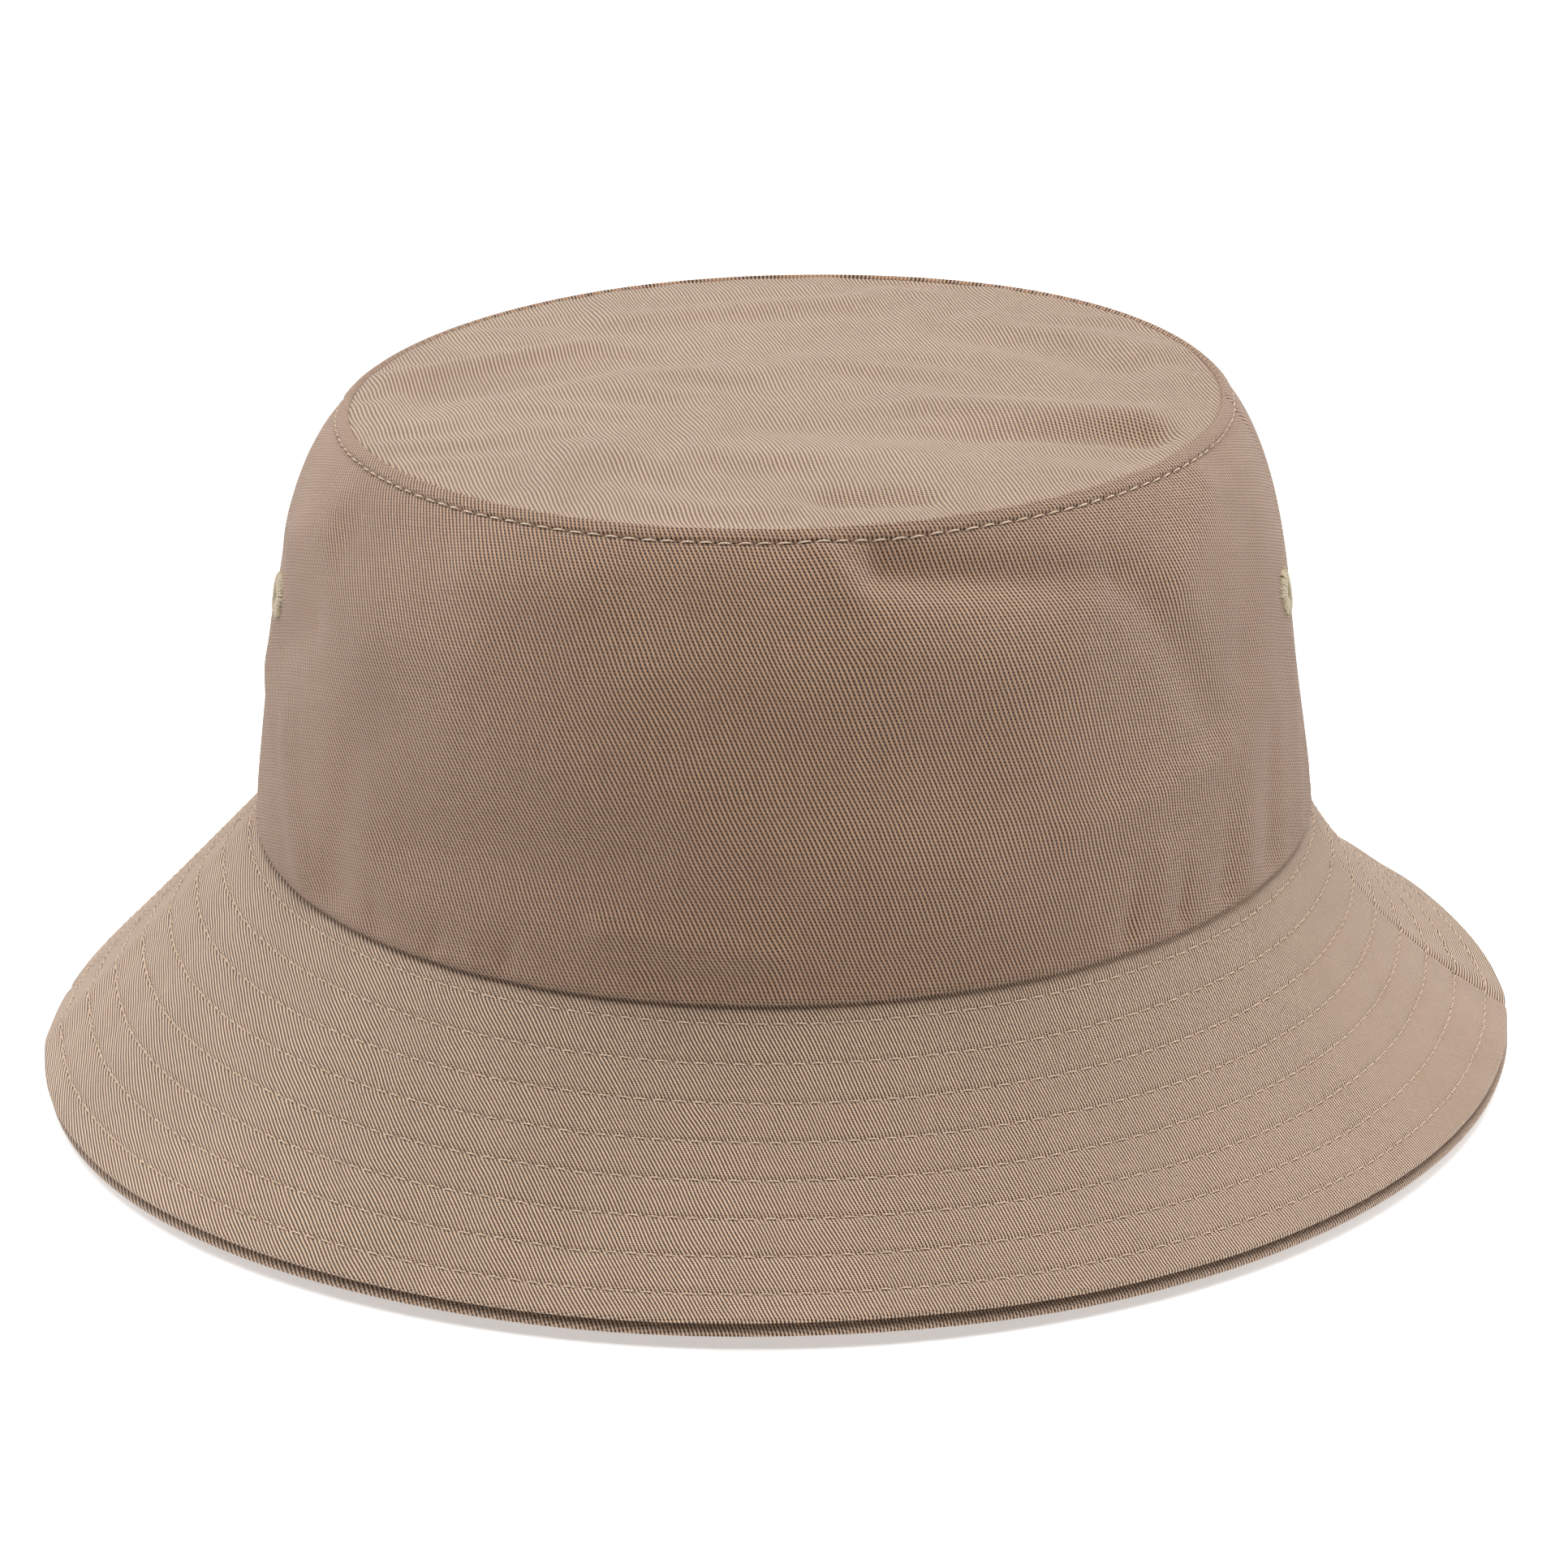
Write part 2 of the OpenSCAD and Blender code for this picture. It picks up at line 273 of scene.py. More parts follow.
def panel_point(angle, s):
    """Points of the top panel: s runs from 0 in the middle to 1 at its seam."""
    angle, s = np.broadcast_arrays(angle, s)
    rim = top_ring(angle)
    xy = rim[..., :2] * s[..., None]
    z = TOP_Z + 0.4 + s ** 2 * swells(angle, TOP_RISE)
    z = z + PANEL_DOME * (1 - s ** 2)
    z = z + np.clip((1 - s) / 0.06, 0, 1) * creases(xy[..., 0], xy[..., 1], PANEL_CREASES)
    z = z + panel_settling(angle, s)
    return np.stack([xy[..., 0], xy[..., 1], z], -1)


def bell(angle):
    """How far the brim sinks below a straight slope, as a share of its width: most at the right."""
    return 0.09 + 0.08 * np.sin(angle)


def brim_raw(angle, u):
    inner = seam_ring(angle)
    outer = edge_ring(angle)
    start = inner.copy()
    start[..., :2] *= (SEAM_X - 0.8) / SEAM_X
    sunk = start.copy()
    sunk[..., :2] += (0.5 - bell(angle))[..., None] * (outer - start)[..., :2]
    sunk[..., 2] += (0.5 + bell(angle)) * (outer - start)[..., 2]
    u = u[..., None]
    return (1 - u) ** 2 * start + 2 * u * (1 - u) * sunk + u ** 2 * outer


BRIM_CREASES = (  # in degrees round the hat and shares out over the brim
    (-84, 0.10, -79, 0.90, 5.0, 1.2, 0.9), (-68, 0.20, -69, 0.70, 6.0, -0.9, -0.7),
    (-13, 0.38, -11, 0.80, 3.2, -0.8, -0.8), (-19, 0.45, -17, 0.85, 4.0, 0.4, 0.4),
    (-15, 0.05, -7, 0.10, 3.6, 0.6, 0.5), (-6, 0.16, 2, 0.22, 3.2, -0.6, -0.5),
    (26, 0.30, 34, 0.85, 8.0, 0.4, 0.5), (50, 0.15, 56, 0.80, 7.0, -0.5, -0.6),
    (88, 0.15, 92, 0.90, 4.5, 1.0, 0.9), (75, 0.30, 77, 0.90, 6.0, -0.7, -0.6),
    (-40, 0.25, -43, 0.85, 8.0, 0.5, 0.5), (118, 0.2, 122, 0.9, 7.0, -0.7, -0.7),
    (150, 0.2, 155, 0.9, 8.0, 0.7, 0.7), (190, 0.2, 186, 0.9, 7.0, -0.7, -0.7),
    (222, 0.2, 226, 0.9, 7.0, 0.7, 0.7), (246, 0.2, 250, 0.9, 6.0, -0.7, -0.7))


def brim_folds(angle, u):
    """Ridges and valleys of the brim, outward in mm."""
    rise = np.sin(math.pi * np.clip(u, 0, 1) / 2) ** 2
    rise = np.maximum(rise, np.clip(u / 0.08, 0, 1) * 0.35)
    f = creases(np.degrees(angle), u, BRIM_CREASES, x_mm=2.0, y_mm=52.0, around=360.0)
    return (f + 0.2 * np.sin(5 * angle + 1.0) + 0.15 * np.sin(9 * angle)) * rise


def brim_surface(angle, u, depth=0.0):
    """Points of the brim, at a depth inside its upper face."""
    angle, u = np.broadcast_arrays(angle, u)
    n = normals_of(brim_raw, angle, u, -1)
    return brim_raw(angle, u) + n * (brim_folds(angle, u) - depth)[..., None]


# ---------------------------------------------------------------- cloth simulation

def settle():
    """Lets slightly roomy cloth buckle between the crown's two seams, and returns how far the side moved
    outward and the panel moved up, in mm. The cloth's own weight is already in the shape it starts from."""
    steps = np.arange(-PANEL_STEPS, PANEL_STEPS + 1)
    i, j = np.meshgrid(steps, steps, indexing="ij")
    angle, s = ring_place(i / PANEL_STEPS, j / PANEL_STEPS)
    top = panel_point(angle, s)
    side_angle = np.arange(COLUMNS) / COLUMNS * TURN
    share = np.arange(BAND_STEPS) / BAND_STEPS
    a, t = np.meshgrid(side_angle, share, indexing="ij")
    side = crown_surface(a, t)
    out = normals_of(crown_raw, a, t)
    grid = np.arange(top.shape[0] * top.shape[1]).reshape(top.shape[:2])
    rim = np.zeros(COLUMNS, int)
    on_rim = s > 1 - 1e-6
    rim[np.round(angle[on_rim] / TURN * COLUMNS).astype(int) % COLUMNS] = grid[on_rim]
    index = np.concatenate([grid.size + np.arange(a.size).reshape(a.shape), rim[:, None]], 1)
    after = np.roll(index, -1, 0)
    faces = np.concatenate([
        np.stack([grid[:-1, :-1], grid[1:, :-1], grid[1:, 1:], grid[:-1, 1:]], -1).reshape(-1, 4),
        np.stack([index[:, :-1], after[:, :-1], after[:, 1:], index[:, 1:]], -1).reshape(-1, 4)])
    start = np.concatenate([top.reshape(-1, 3), side.reshape(-1, 3)]) * SIM_SCALE
    mesh = bpy.data.meshes.new("settling_cloth")
    mesh.from_pydata(start.tolist(), [], faces.tolist())
    obj = bpy.data.objects.new("settling_cloth", mesh)
    bpy.context.scene.collection.objects.link(obj)
    hold = np.concatenate([np.where(on_rim, TOP_SEAM_HOLD, PANEL_HOLD).ravel(),
                           np.where(t < 0.01, BRIM_SEAM_HOLD, BAND_HOLD).ravel()])
    group = obj.vertex_groups.new(name="hold")
    for weight in np.unique(hold):
        group.add(np.flatnonzero(hold == weight).tolist(), float(weight), "REPLACE")
    cloth = obj.modifiers.new("settle", "CLOTH")
    cloth.settings.quality = 6
    cloth.settings.mass = 0.25
    cloth.settings.tension_stiffness = cloth.settings.compression_stiffness = 25
    cloth.settings.shear_stiffness = 8
    cloth.settings.bending_stiffness = BENDING
    cloth.settings.vertex_group_mass = "hold"
    cloth.settings.shrink_min = cloth.settings.shrink_max = -ROOM
    cloth.settings.effector_weights.gravity = 0
    cloth.collision_settings.use_collision = False
    scene = bpy.context.scene
    for frame_number in range(1, SIM_FRAMES + 1):
        scene.frame_set(frame_number)
    view = obj.evaluated_get(bpy.context.evaluated_depsgraph_get()).data
    end = np.zeros(len(start) * 3, np.float32)
    view.vertices.foreach_get("co", end)
    moved = (end.reshape(-1, 3) - start) / SIM_SCALE
    bpy.data.objects.remove(obj)
    bpy.data.meshes.remove(mesh)
    scene.frame_set(1)
    up = moved[:grid.size, 2].reshape(grid.shape)
    outward = np.sum(moved[grid.size:].reshape(side.shape) * out, -1)
    up = np.where(on_rim, 0, up)
    outward = np.concatenate([outward, np.zeros((COLUMNS, 1))], 1)
    outward[:, 0] = 0
    return LARGEST_MOVE * np.tanh(outward / LARGEST_MOVE), LARGEST_MOVE * np.tanh(up / LARGEST_MOVE)


SIM_SCALE = 0.01  # the simulation works at ten times life size, where the solver is steady
SIM_FRAMES = 24
BENDING = 8.0  # stiffness against bending
ROOM = 0.007  # how much longer than its shape the cloth is, as a share
TOP_SEAM_HOLD, BRIM_SEAM_HOLD = 0.9, 1.0  # how firmly each seam keeps its place
PANEL_HOLD, BAND_HOLD = 0.32, 0.08  # how firmly the cloth keeps its shape away from the seams
LARGEST_MOVE = 1.4  # the furthest that any point may move
settled_band, settled_panel = settle()


# ---------------------------------------------------------------- rows of stitching

def spaced(points):
    """Distance along a line of points, starting at 0."""
    return np.concatenate([[0], np.cumsum(np.linalg.norm(np.diff(points, axis=0), axis=1))])


FINE = np.linspace(0, TURN, 2881)
BRIM_WIDTH = spaced(brim_surface(np.zeros(60), np.linspace(0, 1, 60)))[-1]
CROWN_SIDE = spaced(crown_surface(np.zeros(60), np.linspace(0, 1, 60)))[-1]
FIRST_ROW, LAST_ROW = 3.3, 4.8  # from the brim seam to the first row, and from the last row to the edge
ROW_SHARES = [(FIRST_ROW + (BRIM_WIDTH - FIRST_ROW - LAST_ROW) * i / (ROWS - 1)) / BRIM_WIDTH
              for i in range(ROWS)]
TOPSTITCH_DROP = 2.6  # from the top seam down to its row of stitching


def crown_share(distance):
    """Height share at a distance below the top seam, measured down the crown's front."""
    t = np.linspace(1, 0, 400)
    return np.interp(distance, spaced(crown_surface(0 * t, t)), t)


TOPSTITCH_SHARE = float(crown_share(TOPSTITCH_DROP))


class Row:
    """One closed row of stitching: how far along it each angle is, and its whole number of stitches."""

    def __init__(self, surface, share):
        self.surface, self.share = surface, share
        self.along = spaced(surface(FINE, np.full_like(FINE, share)))
        self.count = round(self.along[-1] / STITCH)

    def phase(self, angle):
        """Stitches passed by the time the row reaches an angle."""
        return np.interp(angle % TURN, FINE, self.along) / self.along[-1] * self.count

    def angle(self, stitches):
        return np.interp(stitches / self.count % 1 * self.along[-1], self.along, FINE)


brim_rows = [Row(brim_surface, share) for share in ROW_SHARES]
crown_row = Row(crown_surface, TOPSTITCH_SHARE)


def stitched_relief(angle, away, row, depth, puff):
    """Height of cloth at a distance from a row: a groove, deepest where the needle went in."""
    hole = (0.5 + 0.5 * np.cos(TURN * row.phase(angle))) ** 3
    groove = -depth * (0.35 + 0.65 * hole) * bump(away, 0, 0.42)
    return groove + puff * (1 - hole) * (bump(away, 1.1, 0.7) + bump(away, -1.1, 0.7))


def brim_relief(angle, u):
    f = 0 * angle + 0 * u
    for row in brim_rows:
        f = f + stitched_relief(angle, (u - row.share) * BRIM_WIDTH, row, 0.40, 0.05)
    pitch = (BRIM_WIDTH - FIRST_ROW - LAST_ROW) / (ROWS - 1)
    between = np.sin(math.pi * (u * BRIM_WIDTH - FIRST_ROW) / pitch) ** 2
    inside = np.clip((u - ROW_SHARES[0]) * 40, 0, 1) * np.clip((ROW_SHARES[-1] - u) * 40, 0, 1)
    return f + 0.07 * between * inside - 0.9 * np.clip(1 - u * BRIM_WIDTH / 0.9, 0, 1) ** 1.2


def crown_relief(angle, t, below):
    """The raised allowance below the top seam, its stitched groove, and the curl of the lower edge."""
    ridge = 0.55 * np.clip((2.5 - below) / 0.45, 0, 1) ** 0.6 * (1 - 0.12 * bump(below, 0, 0.6))
    f = ridge + stitched_relief(angle, below - TOPSTITCH_DROP, crown_row, 0.34, 0.04)
    up = t * CROWN_SIDE
    return f + 0.30 * bump(up, 1.5, 1.2) - 0.6 * np.clip(1 - up / 0.5, 0, 1) ** 2


# ---------------------------------------------------------------- mesh making

def make_object(name, points, faces, uvs, materials):
    """A smooth-shaded closed mesh. faces and uvs are lists of arrays: corners, and their (u, v) in mm."""
    points = np.asarray(points)
    faces = [np.asarray(f) for f in faces if len(f)]
    uvs = [np.asarray(u, float) for u in uvs if len(u)]
    volume = 0
    for f in faces:
        for k in range(1, f.shape[1] - 1):
            a, b, c = points[f[:, 0]], points[f[:, k]], points[f[:, k + 1]]
            volume += np.einsum("ij,ij->", a, np.cross(b, c))
    if volume < 0:
        faces = [f[:, ::-1] for f in faces]
        uvs = [u[:, ::-1] for u in uvs]
    mesh = bpy.data.meshes.new(name)
    mesh.vertices.add(len(points))
    mesh.vertices.foreach_set("co", (points * MM).astype(np.float32).ravel())
    corners = np.concatenate([f.ravel() for f in faces])
    sizes = np.concatenate([np.full(len(f), f.shape[1]) for f in faces])
    mesh.loops.add(len(corners))
    mesh.loops.foreach_set("vertex_index", corners.astype(np.int32))
    mesh.polygons.add(len(sizes))
    starts = np.concatenate([[0], np.cumsum(sizes)[:-1]])
    mesh.polygons.foreach_set("loop_start", starts.astype(np.int32))
    layer = mesh.uv_layers.new(name="cloth")
    flat = np.concatenate([u.reshape(-1, 2) for u in uvs])
    layer.data.foreach_set("uv", flat.astype(np.float32).ravel())
    for material in materials:
        mesh.materials.append(material)
    mesh.polygons.foreach_set("use_smooth", np.ones(len(sizes), bool))
    mesh.update(calc_edges=True)
    mesh.validate(clean_customdata=False)
    obj = bpy.data.objects.new(name, mesh)
    bpy.context.scene.collection.objects.link(obj)
    return obj


def shell(name, outer, inner, flat, material, closed=False, hole=None):
    """A closed cloth shell between two grids of points, indexed [round the hat][across the cloth].

    flat holds the cut cloth's own (x, y) at each grid point, with one more column where the grid is
    closed round the hat. hole is a mask of the grid cells that are cut right through.
    """
    n, m = outer.shape[:2]
    points = np.concatenate([outer.reshape(-1, 3), inner.reshape(-1, 3)])
    cells = n if closed else n - 1
    j, i = np.meshgrid(np.arange(cells), np.arange(m - 1), indexing="ij")
    keep = np.ones(j.shape, bool) if hole is None else ~hole

    def index(a, b):
        return (a % n) * m + b

    quads = np.stack([index(j, i), index(j + 1, i), index(j + 1, i + 1), index(j, i + 1)], -1)
    uv = np.stack([flat[j, i], flat[j + 1, i], flat[j + 1, i + 1], flat[j, i + 1]], -2)
    faces = [quads[keep], quads[keep][:, ::-1] + n * m]
    uvs = [uv[keep], uv[keep][:, ::-1]]

    def wall(a, b):
        """Joins the edge a to b of the outer grid to the same edge of the inner one."""
        pa, pb = index(*a), index(*b)
        faces.append(np.stack([pb, pa, pa + n * m, pb + n * m], -1).reshape(-1, 4))
        uvs.append(np.stack([flat[b], flat[a], flat[a], flat[b]], -2).reshape(-1, 4, 2))

    cols = np.arange(cells)
    rows = np.arange(m - 1)
    wall((cols, 0 * cols), (cols + 1, 0 * cols))
    wall((cols + 1, 0 * cols + m - 1), (cols, 0 * cols + m - 1))
    if not closed:
        wall((0 * rows, rows + 1), (0 * rows, rows))
        wall((0 * rows + n - 1, rows), (0 * rows + n - 1, rows + 1))
    if hole is not None:
        sides = (((-1, 0), (0, 0), (0, 1)), ((1, 0), (1, 1), (1, 0)),
                 ((0, -1), (1, 0), (0, 0)), ((0, 1), (0, 1), (1, 1)))
        for a, b in np.argwhere(hole):
            for (da, db), start, end in sides:
                if not hole[a + da, b + db]:
                    wall((np.array([a + start[0]]), np.array([b + start[1]])),
                         (np.array([a + end[0]]), np.array([b + end[1]])))
    return make_object(name, points, faces, uvs, [material])


def tubes(name, paths, across, radius_a, radius_b, material, sides=6, closed=False):
    """Threads: one closed tube along each path of points [thread][along].

    across is the direction of each thread's width at each point. radius_a and radius_b are the half width
    and half height, as numbers or arrays [thread][along].
    """
    count, steps = paths.shape[:2]
    if closed:
        along = np.roll(paths, -1, 1) - np.roll(paths, 1, 1)
    else:
        along = np.gradient(paths, axis=1)
    along /= np.linalg.norm(along, axis=-1, keepdims=True)
    a = across - along * np.sum(across * along, -1, keepdims=True)
    a /= np.linalg.norm(a, axis=-1, keepdims=True)
    b = np.cross(along, a)
    turn = np.arange(sides) / sides * TURN
    ra = (np.zeros((count, steps)) + radius_a)[..., None, None]
    rb = (np.zeros((count, steps)) + radius_b)[..., None, None]
    rings = (paths[:, :, None] + ra * a[:, :, None] * np.cos(turn)[:, None]
             + rb * b[:, :, None] * np.sin(turn)[:, None])
    points = rings.reshape(-1, 3)
    cells = steps if closed else steps - 1
    q, j, k = np.meshgrid(np.arange(count), np.arange(cells), np.arange(sides), indexing="ij")

    def index(t, u, v):
        return (t * steps + u % steps) * sides + v % sides

    quads = np.stack([index(q, j, k), index(q, j + 1, k), index(q, j + 1, k + 1), index(q, j, k + 1)], -1)
    length = np.concatenate([np.zeros((count, 1)), np.cumsum(
        np.linalg.norm(np.diff(np.concatenate([paths, paths[:, :1]], 1), axis=1), axis=-1), 1)], 1)
    girth = 2.0 / sides

    def uv_at(t, u, v):
        return np.stack([length[t, u] + 1.7 * t, v * girth], -1)

    uv = np.stack([uv_at(q, j, k), uv_at(q, j + 1, k), uv_at(q, j + 1, k + 1), uv_at(q, j, k + 1)], -2)
    faces, uvs = [quads.reshape(-1, 4)], [uv.reshape(-1, 4, 2)]
    if not closed:
        t, v = np.meshgrid(np.arange(count), np.arange(sides), indexing="ij")
        for end in (0, steps - 1):
            cap = index(t, 0 * t + end, v)
            cap_uv = np.stack([length[t, 0 * t + end] + 1.7 * t, v * girth], -1)
            if end:
                cap, cap_uv = cap[:, ::-1], cap_uv[:, ::-1]
            faces.append(cap)
            uvs.append(cap_uv)
    return make_object(name, points, faces, uvs, [material])


# ---------------------------------------------------------------- materials

class Nodes:
    """Short names for building a node tree."""

    def __init__(self, name):
        self.material = bpy.data.materials.new(name)
        self.material.use_nodes = True
        self.tree = self.material.node_tree
        self.tree.nodes.clear()
        self.out = self.tree.nodes.new("ShaderNodeOutputMaterial")
        self.shader = self.tree.nodes.new("ShaderNodeBsdfPrincipled")
        self.tree.links.new(self.shader.outputs[0], self.out.inputs[0])

    def feed(self, value, socket):
        if isinstance(value, bpy.types.NodeSocket):
            self.tree.links.new(value, socket)
        else:
            socket.default_value = value

    def math(self, operation, a, b=0.0, c=0.0):
        node = self.tree.nodes.new("ShaderNodeMath")
        node.operation = operation
        for value, socket in zip((a, b, c), node.inputs):
            self.feed(value, socket)
        return node.outputs[0]

    def add(self, a, b):
        return self.math("ADD", a, b)

    def times(self, a, b):
        return self.math("MULTIPLY", a, b)

    def step(self, value, low, high, to_low=0.0, to_high=1.0):
        node = self.tree.nodes.new("ShaderNodeMapRange")
        node.interpolation_type = "SMOOTHSTEP"
        for v, k in ((value, "Value"), (low, "From Min"), (high, "From Max"), (to_low, "To Min"),
                     (to_high, "To Max")):
            self.feed(v, node.inputs[k])
        return node.outputs[0]

    def noise(self, vector, scale, detail=2.0, roughness=0.5):
        node = self.tree.nodes.new("ShaderNodeTexNoise")
        self.feed(vector, node.inputs["Vector"])
        node.inputs["Scale"].default_value = scale
        node.inputs["Detail"].default_value = detail
        node.inputs["Roughness"].default_value = roughness
        return node.outputs["Fac"]

    def cloth(self):
        """The cut cloth's own coordinates, in mm."""
        node = self.tree.nodes.new("ShaderNodeUVMap")
        node.uv_map = "cloth"
        split = self.tree.nodes.new("ShaderNodeSeparateXYZ")
        self.tree.links.new(node.outputs[0], split.inputs[0])
        return node.outputs[0], split.outputs[0], split.outputs[1]

    def place(self):
        """The point in the object, in metres."""
        return self.tree.nodes.new("ShaderNodeTexCoord").outputs["Object"]

    def vector(self, x, y, z=0.0):
        node = self.tree.nodes.new("ShaderNodeCombineXYZ")
        for value, socket in zip((x, y, z), node.inputs):
            self.feed(value, socket)
        return node.outputs[0]

    def mix(self, share, a, b):
        node = self.tree.nodes.new("ShaderNodeMix")
        node.data_type = "RGBA"
        self.feed(share, node.inputs["Factor"])
        for value, socket in ((a, node.inputs[6]), (b, node.inputs[7])):
            self.feed((*value, 1) if isinstance(value, tuple) else value, socket)
        return node.outputs[2]

    def bump(self, height, distance, strength=1.0):
        node = self.tree.nodes.new("ShaderNodeBump")
        node.inputs["Distance"].default_value = distance
        node.inputs["Strength"].default_value = strength
        self.feed(height, node.inputs["Height"])
        return node.outputs[0]

    def set(self, **inputs):
        for name, value in inputs.items():
            self.feed(value, self.shader.inputs[name.replace("_", " ")])
        return self.material


def twill(name, high, low, gap, warp=0.247, pick=0.54, groove=0.34):
    """2/1 cotton twill: warp ends run up the cloth and float over two picks, and dip under the third.

    high and low are the yarn's colour where it is paler and darker, and gap a near-black painted shade for
    the dips. warp and pick are the yarns' spacings in mm. groove is how much of that painted shade the
    slanting grooves between the ribs take, besides the dips.
    """
    n = Nodes(name)
    cloth, x, y = n.cloth()
    place = n.place()
    drift = n.noise(cloth, 0.045, 2.0)
    sway = n.times(n.add(drift, -0.5), 1.6)
    x = n.add(x, sway)
    y = n.add(y, n.times(sway, 0.7))
    # a dip stands at every third end of each pick, one end further on in the next pick
    slant = n.math("COSINE", n.times(n.add(n.times(x, 1 / (3 * warp)), n.times(y, 1 / (3 * pick))), TURN))
    picks = n.math("COSINE", n.times(y, TURN / pick))
    dips = n.step(n.add(n.times(slant, 1.1), n.times(picks, 0.9)), 0.05, 1.6)
    rib = n.step(slant, -0.9, 0.9)
    ends = n.math("COSINE", n.times(x, TURN / warp))
    streak = n.noise(n.vector(n.times(x, 4.0), n.times(y, 0.05)), 1.0, 2.0)
    slub = n.noise(n.vector(n.times(x, 0.08), n.times(y, 2.2)), 1.0, 2.0)
    fibre = n.noise(cloth, 9.0, 2.0, 0.7)
    cloud = n.noise(place, 28.0, 3.0)
    tone = n.add(n.times(n.add(streak, slub), 0.35), n.times(fibre, 0.3))
    tone = n.add(n.times(tone, 0.75), n.times(cloud, 0.3))
    colour = n.mix(n.step(tone, 0.3, 0.7), low, high)
    # Painted shade: the dips and the slanting grooves between the ribs are darkened towards the gap colour.
    colour = n.mix(n.times(dips, 0.95), colour, gap)
    colour = n.mix(n.times(rib, groove), colour, gap)
    height = n.add(n.times(dips, -1.0), n.times(rib, -0.25))
    height = n.add(height, n.add(n.times(ends, 0.06), n.times(fibre, 0.35)))
    height = n.add(height, n.times(n.add(streak, slub), 0.35))
    rough = n.step(n.add(fibre, dips), 0.2, 1.4, 0.78, 0.95)
    n.set(Base_Color=colour, Roughness=rough, Normal=n.bump(height, 0.00032), Specular_IOR_Level=0.25,
          Sheen_Weight=0.42, Sheen_Roughness=0.45, Sheen_Tint=(1.0, 0.97, 0.95, 1))
    return n.material


def thread(name, high, low, rough=0.62, twist=0.5, sheen=0.2):
    """Spun sewing thread: the plies wind round it, with fine fibres between them."""
    n = Nodes(name)
    cloth, x, y = n.cloth()
    ply = n.math("SINE", n.times(n.add(n.times(x, 1 / twist), y), TURN))
    fibre = n.noise(n.vector(n.times(x, 1.5), n.times(y, 8.0)), 3.0, 2.0)
    cloud = n.noise(n.place(), 90.0, 2.0)
    tone = n.add(n.times(n.add(ply, 1.0), 0.22), n.add(n.times(fibre, 0.35), n.times(cloud, 0.3)))
    n.set(Base_Color=n.mix(n.step(tone, 0.25, 0.8), low, high),
          Roughness=n.step(fibre, 0.2, 0.8, rough, rough + 0.2),
          Normal=n.bump(n.add(ply, n.times(fibre, 0.6)), 0.00004), Sheen_Weight=sheen,
          Specular_IOR_Level=0.35)
    return n.material


def herringbone(name, high, low):
    """Cotton tape whose twill turns about every 3 mm."""
    n = Nodes(name)
    cloth, x, y = n.cloth()
    zig = n.math("PINGPONG", y, 3.0)
    ribs = n.math("SINE", n.times(n.add(n.times(x, 1.0), zig), TURN / 0.9))
    fibre = n.noise(cloth, 5.0, 3.0, 0.7)
    cloud = n.noise(n.place(), 40.0, 2.0)
    tone = n.add(n.times(n.add(ribs, 1.0), 0.25), n.add(n.times(fibre, 0.3), n.times(cloud, 0.25)))
    n.set(Base_Color=n.mix(n.step(tone, 0.25, 0.75), low, high),
          Roughness=n.step(fibre, 0.2, 0.8, 0.75, 0.92),
          Normal=n.bump(n.add(ribs, fibre), 0.00012), Sheen_Weight=0.2, Specular_IOR_Level=0.25)
    return n.material


def fleece(name, high, low):
    """Pressed fibre interlining."""
    n = Nodes(name)
    cloth = n.cloth()[0]
    fibre = n.noise(cloth, 2.5, 4.0, 0.75)
    cloud = n.noise(n.place(), 60.0, 2.0)
    n.set(Base_Color=n.mix(n.add(n.times(fibre, 0.6), n.times(cloud, 0.4)), low, high),
          Roughness=n.step(fibre, 0.2, 0.8, 0.85, 0.97), Normal=n.bump(fibre, 0.0002))
    return n.material


def satin(name, high, low):
    """Woven label satin: fine warp lines with a soft gloss."""
    n = Nodes(name)
    cloth, x, y = n.cloth()
    lines = n.math("SINE", n.times(y, TURN / 0.35))
    cross = n.math("SINE", n.times(n.add(x, n.times(y, 2.0)), TURN / 1.1))
    fibre = n.noise(cloth, 4.0, 2.0)
    tone = n.add(n.times(n.add(lines, cross), 0.12), n.add(n.times(fibre, 0.5), 0.25))
    n.set(Base_Color=n.mix(n.step(tone, 0.2, 0.8), low, high), Roughness=n.step(fibre, 0.2, 0.8, 0.42, 0.6),
          Normal=n.bump(n.add(lines, cross), 0.00005), Sheen_Weight=0.15)
    return n.material


# The same tan twill in four copies, each coloured for how light falls on its part: this one, for the top
# panel, is the copy lit from above.
TWILL = twill("tan_twill", (0.588, 0.405, 0.270), (0.452, 0.303, 0.197), (0.070, 0.037, 0.020),
              groove=0.46)
# Painted shade: the crown side's copy is darker and more saturated, for the shade on the upright band.
TWILL_SIDE_PAINTED_SHADE = twill("tan_twill_side_painted_shade", (0.565, 0.350, 0.223), (0.430, 0.258, 0.158), (0.040, 0.018, 0.008),
                   groove=0.59)
BRIM_WEAVE = (0.215, 0.37, 0.80)  # warp, pick and groove: it is closer than the crown's, and its grooves take more painted shade
# Painted light: the brim's copy is paler, to brighten the brim.
TWILL_BRIM_PAINTED_LIGHT = twill("tan_twill_brim_painted_light", (0.81, 0.560, 0.388), (0.630, 0.432, 0.293), (0.042, 0.021, 0.010),
                   *BRIM_WEAVE)
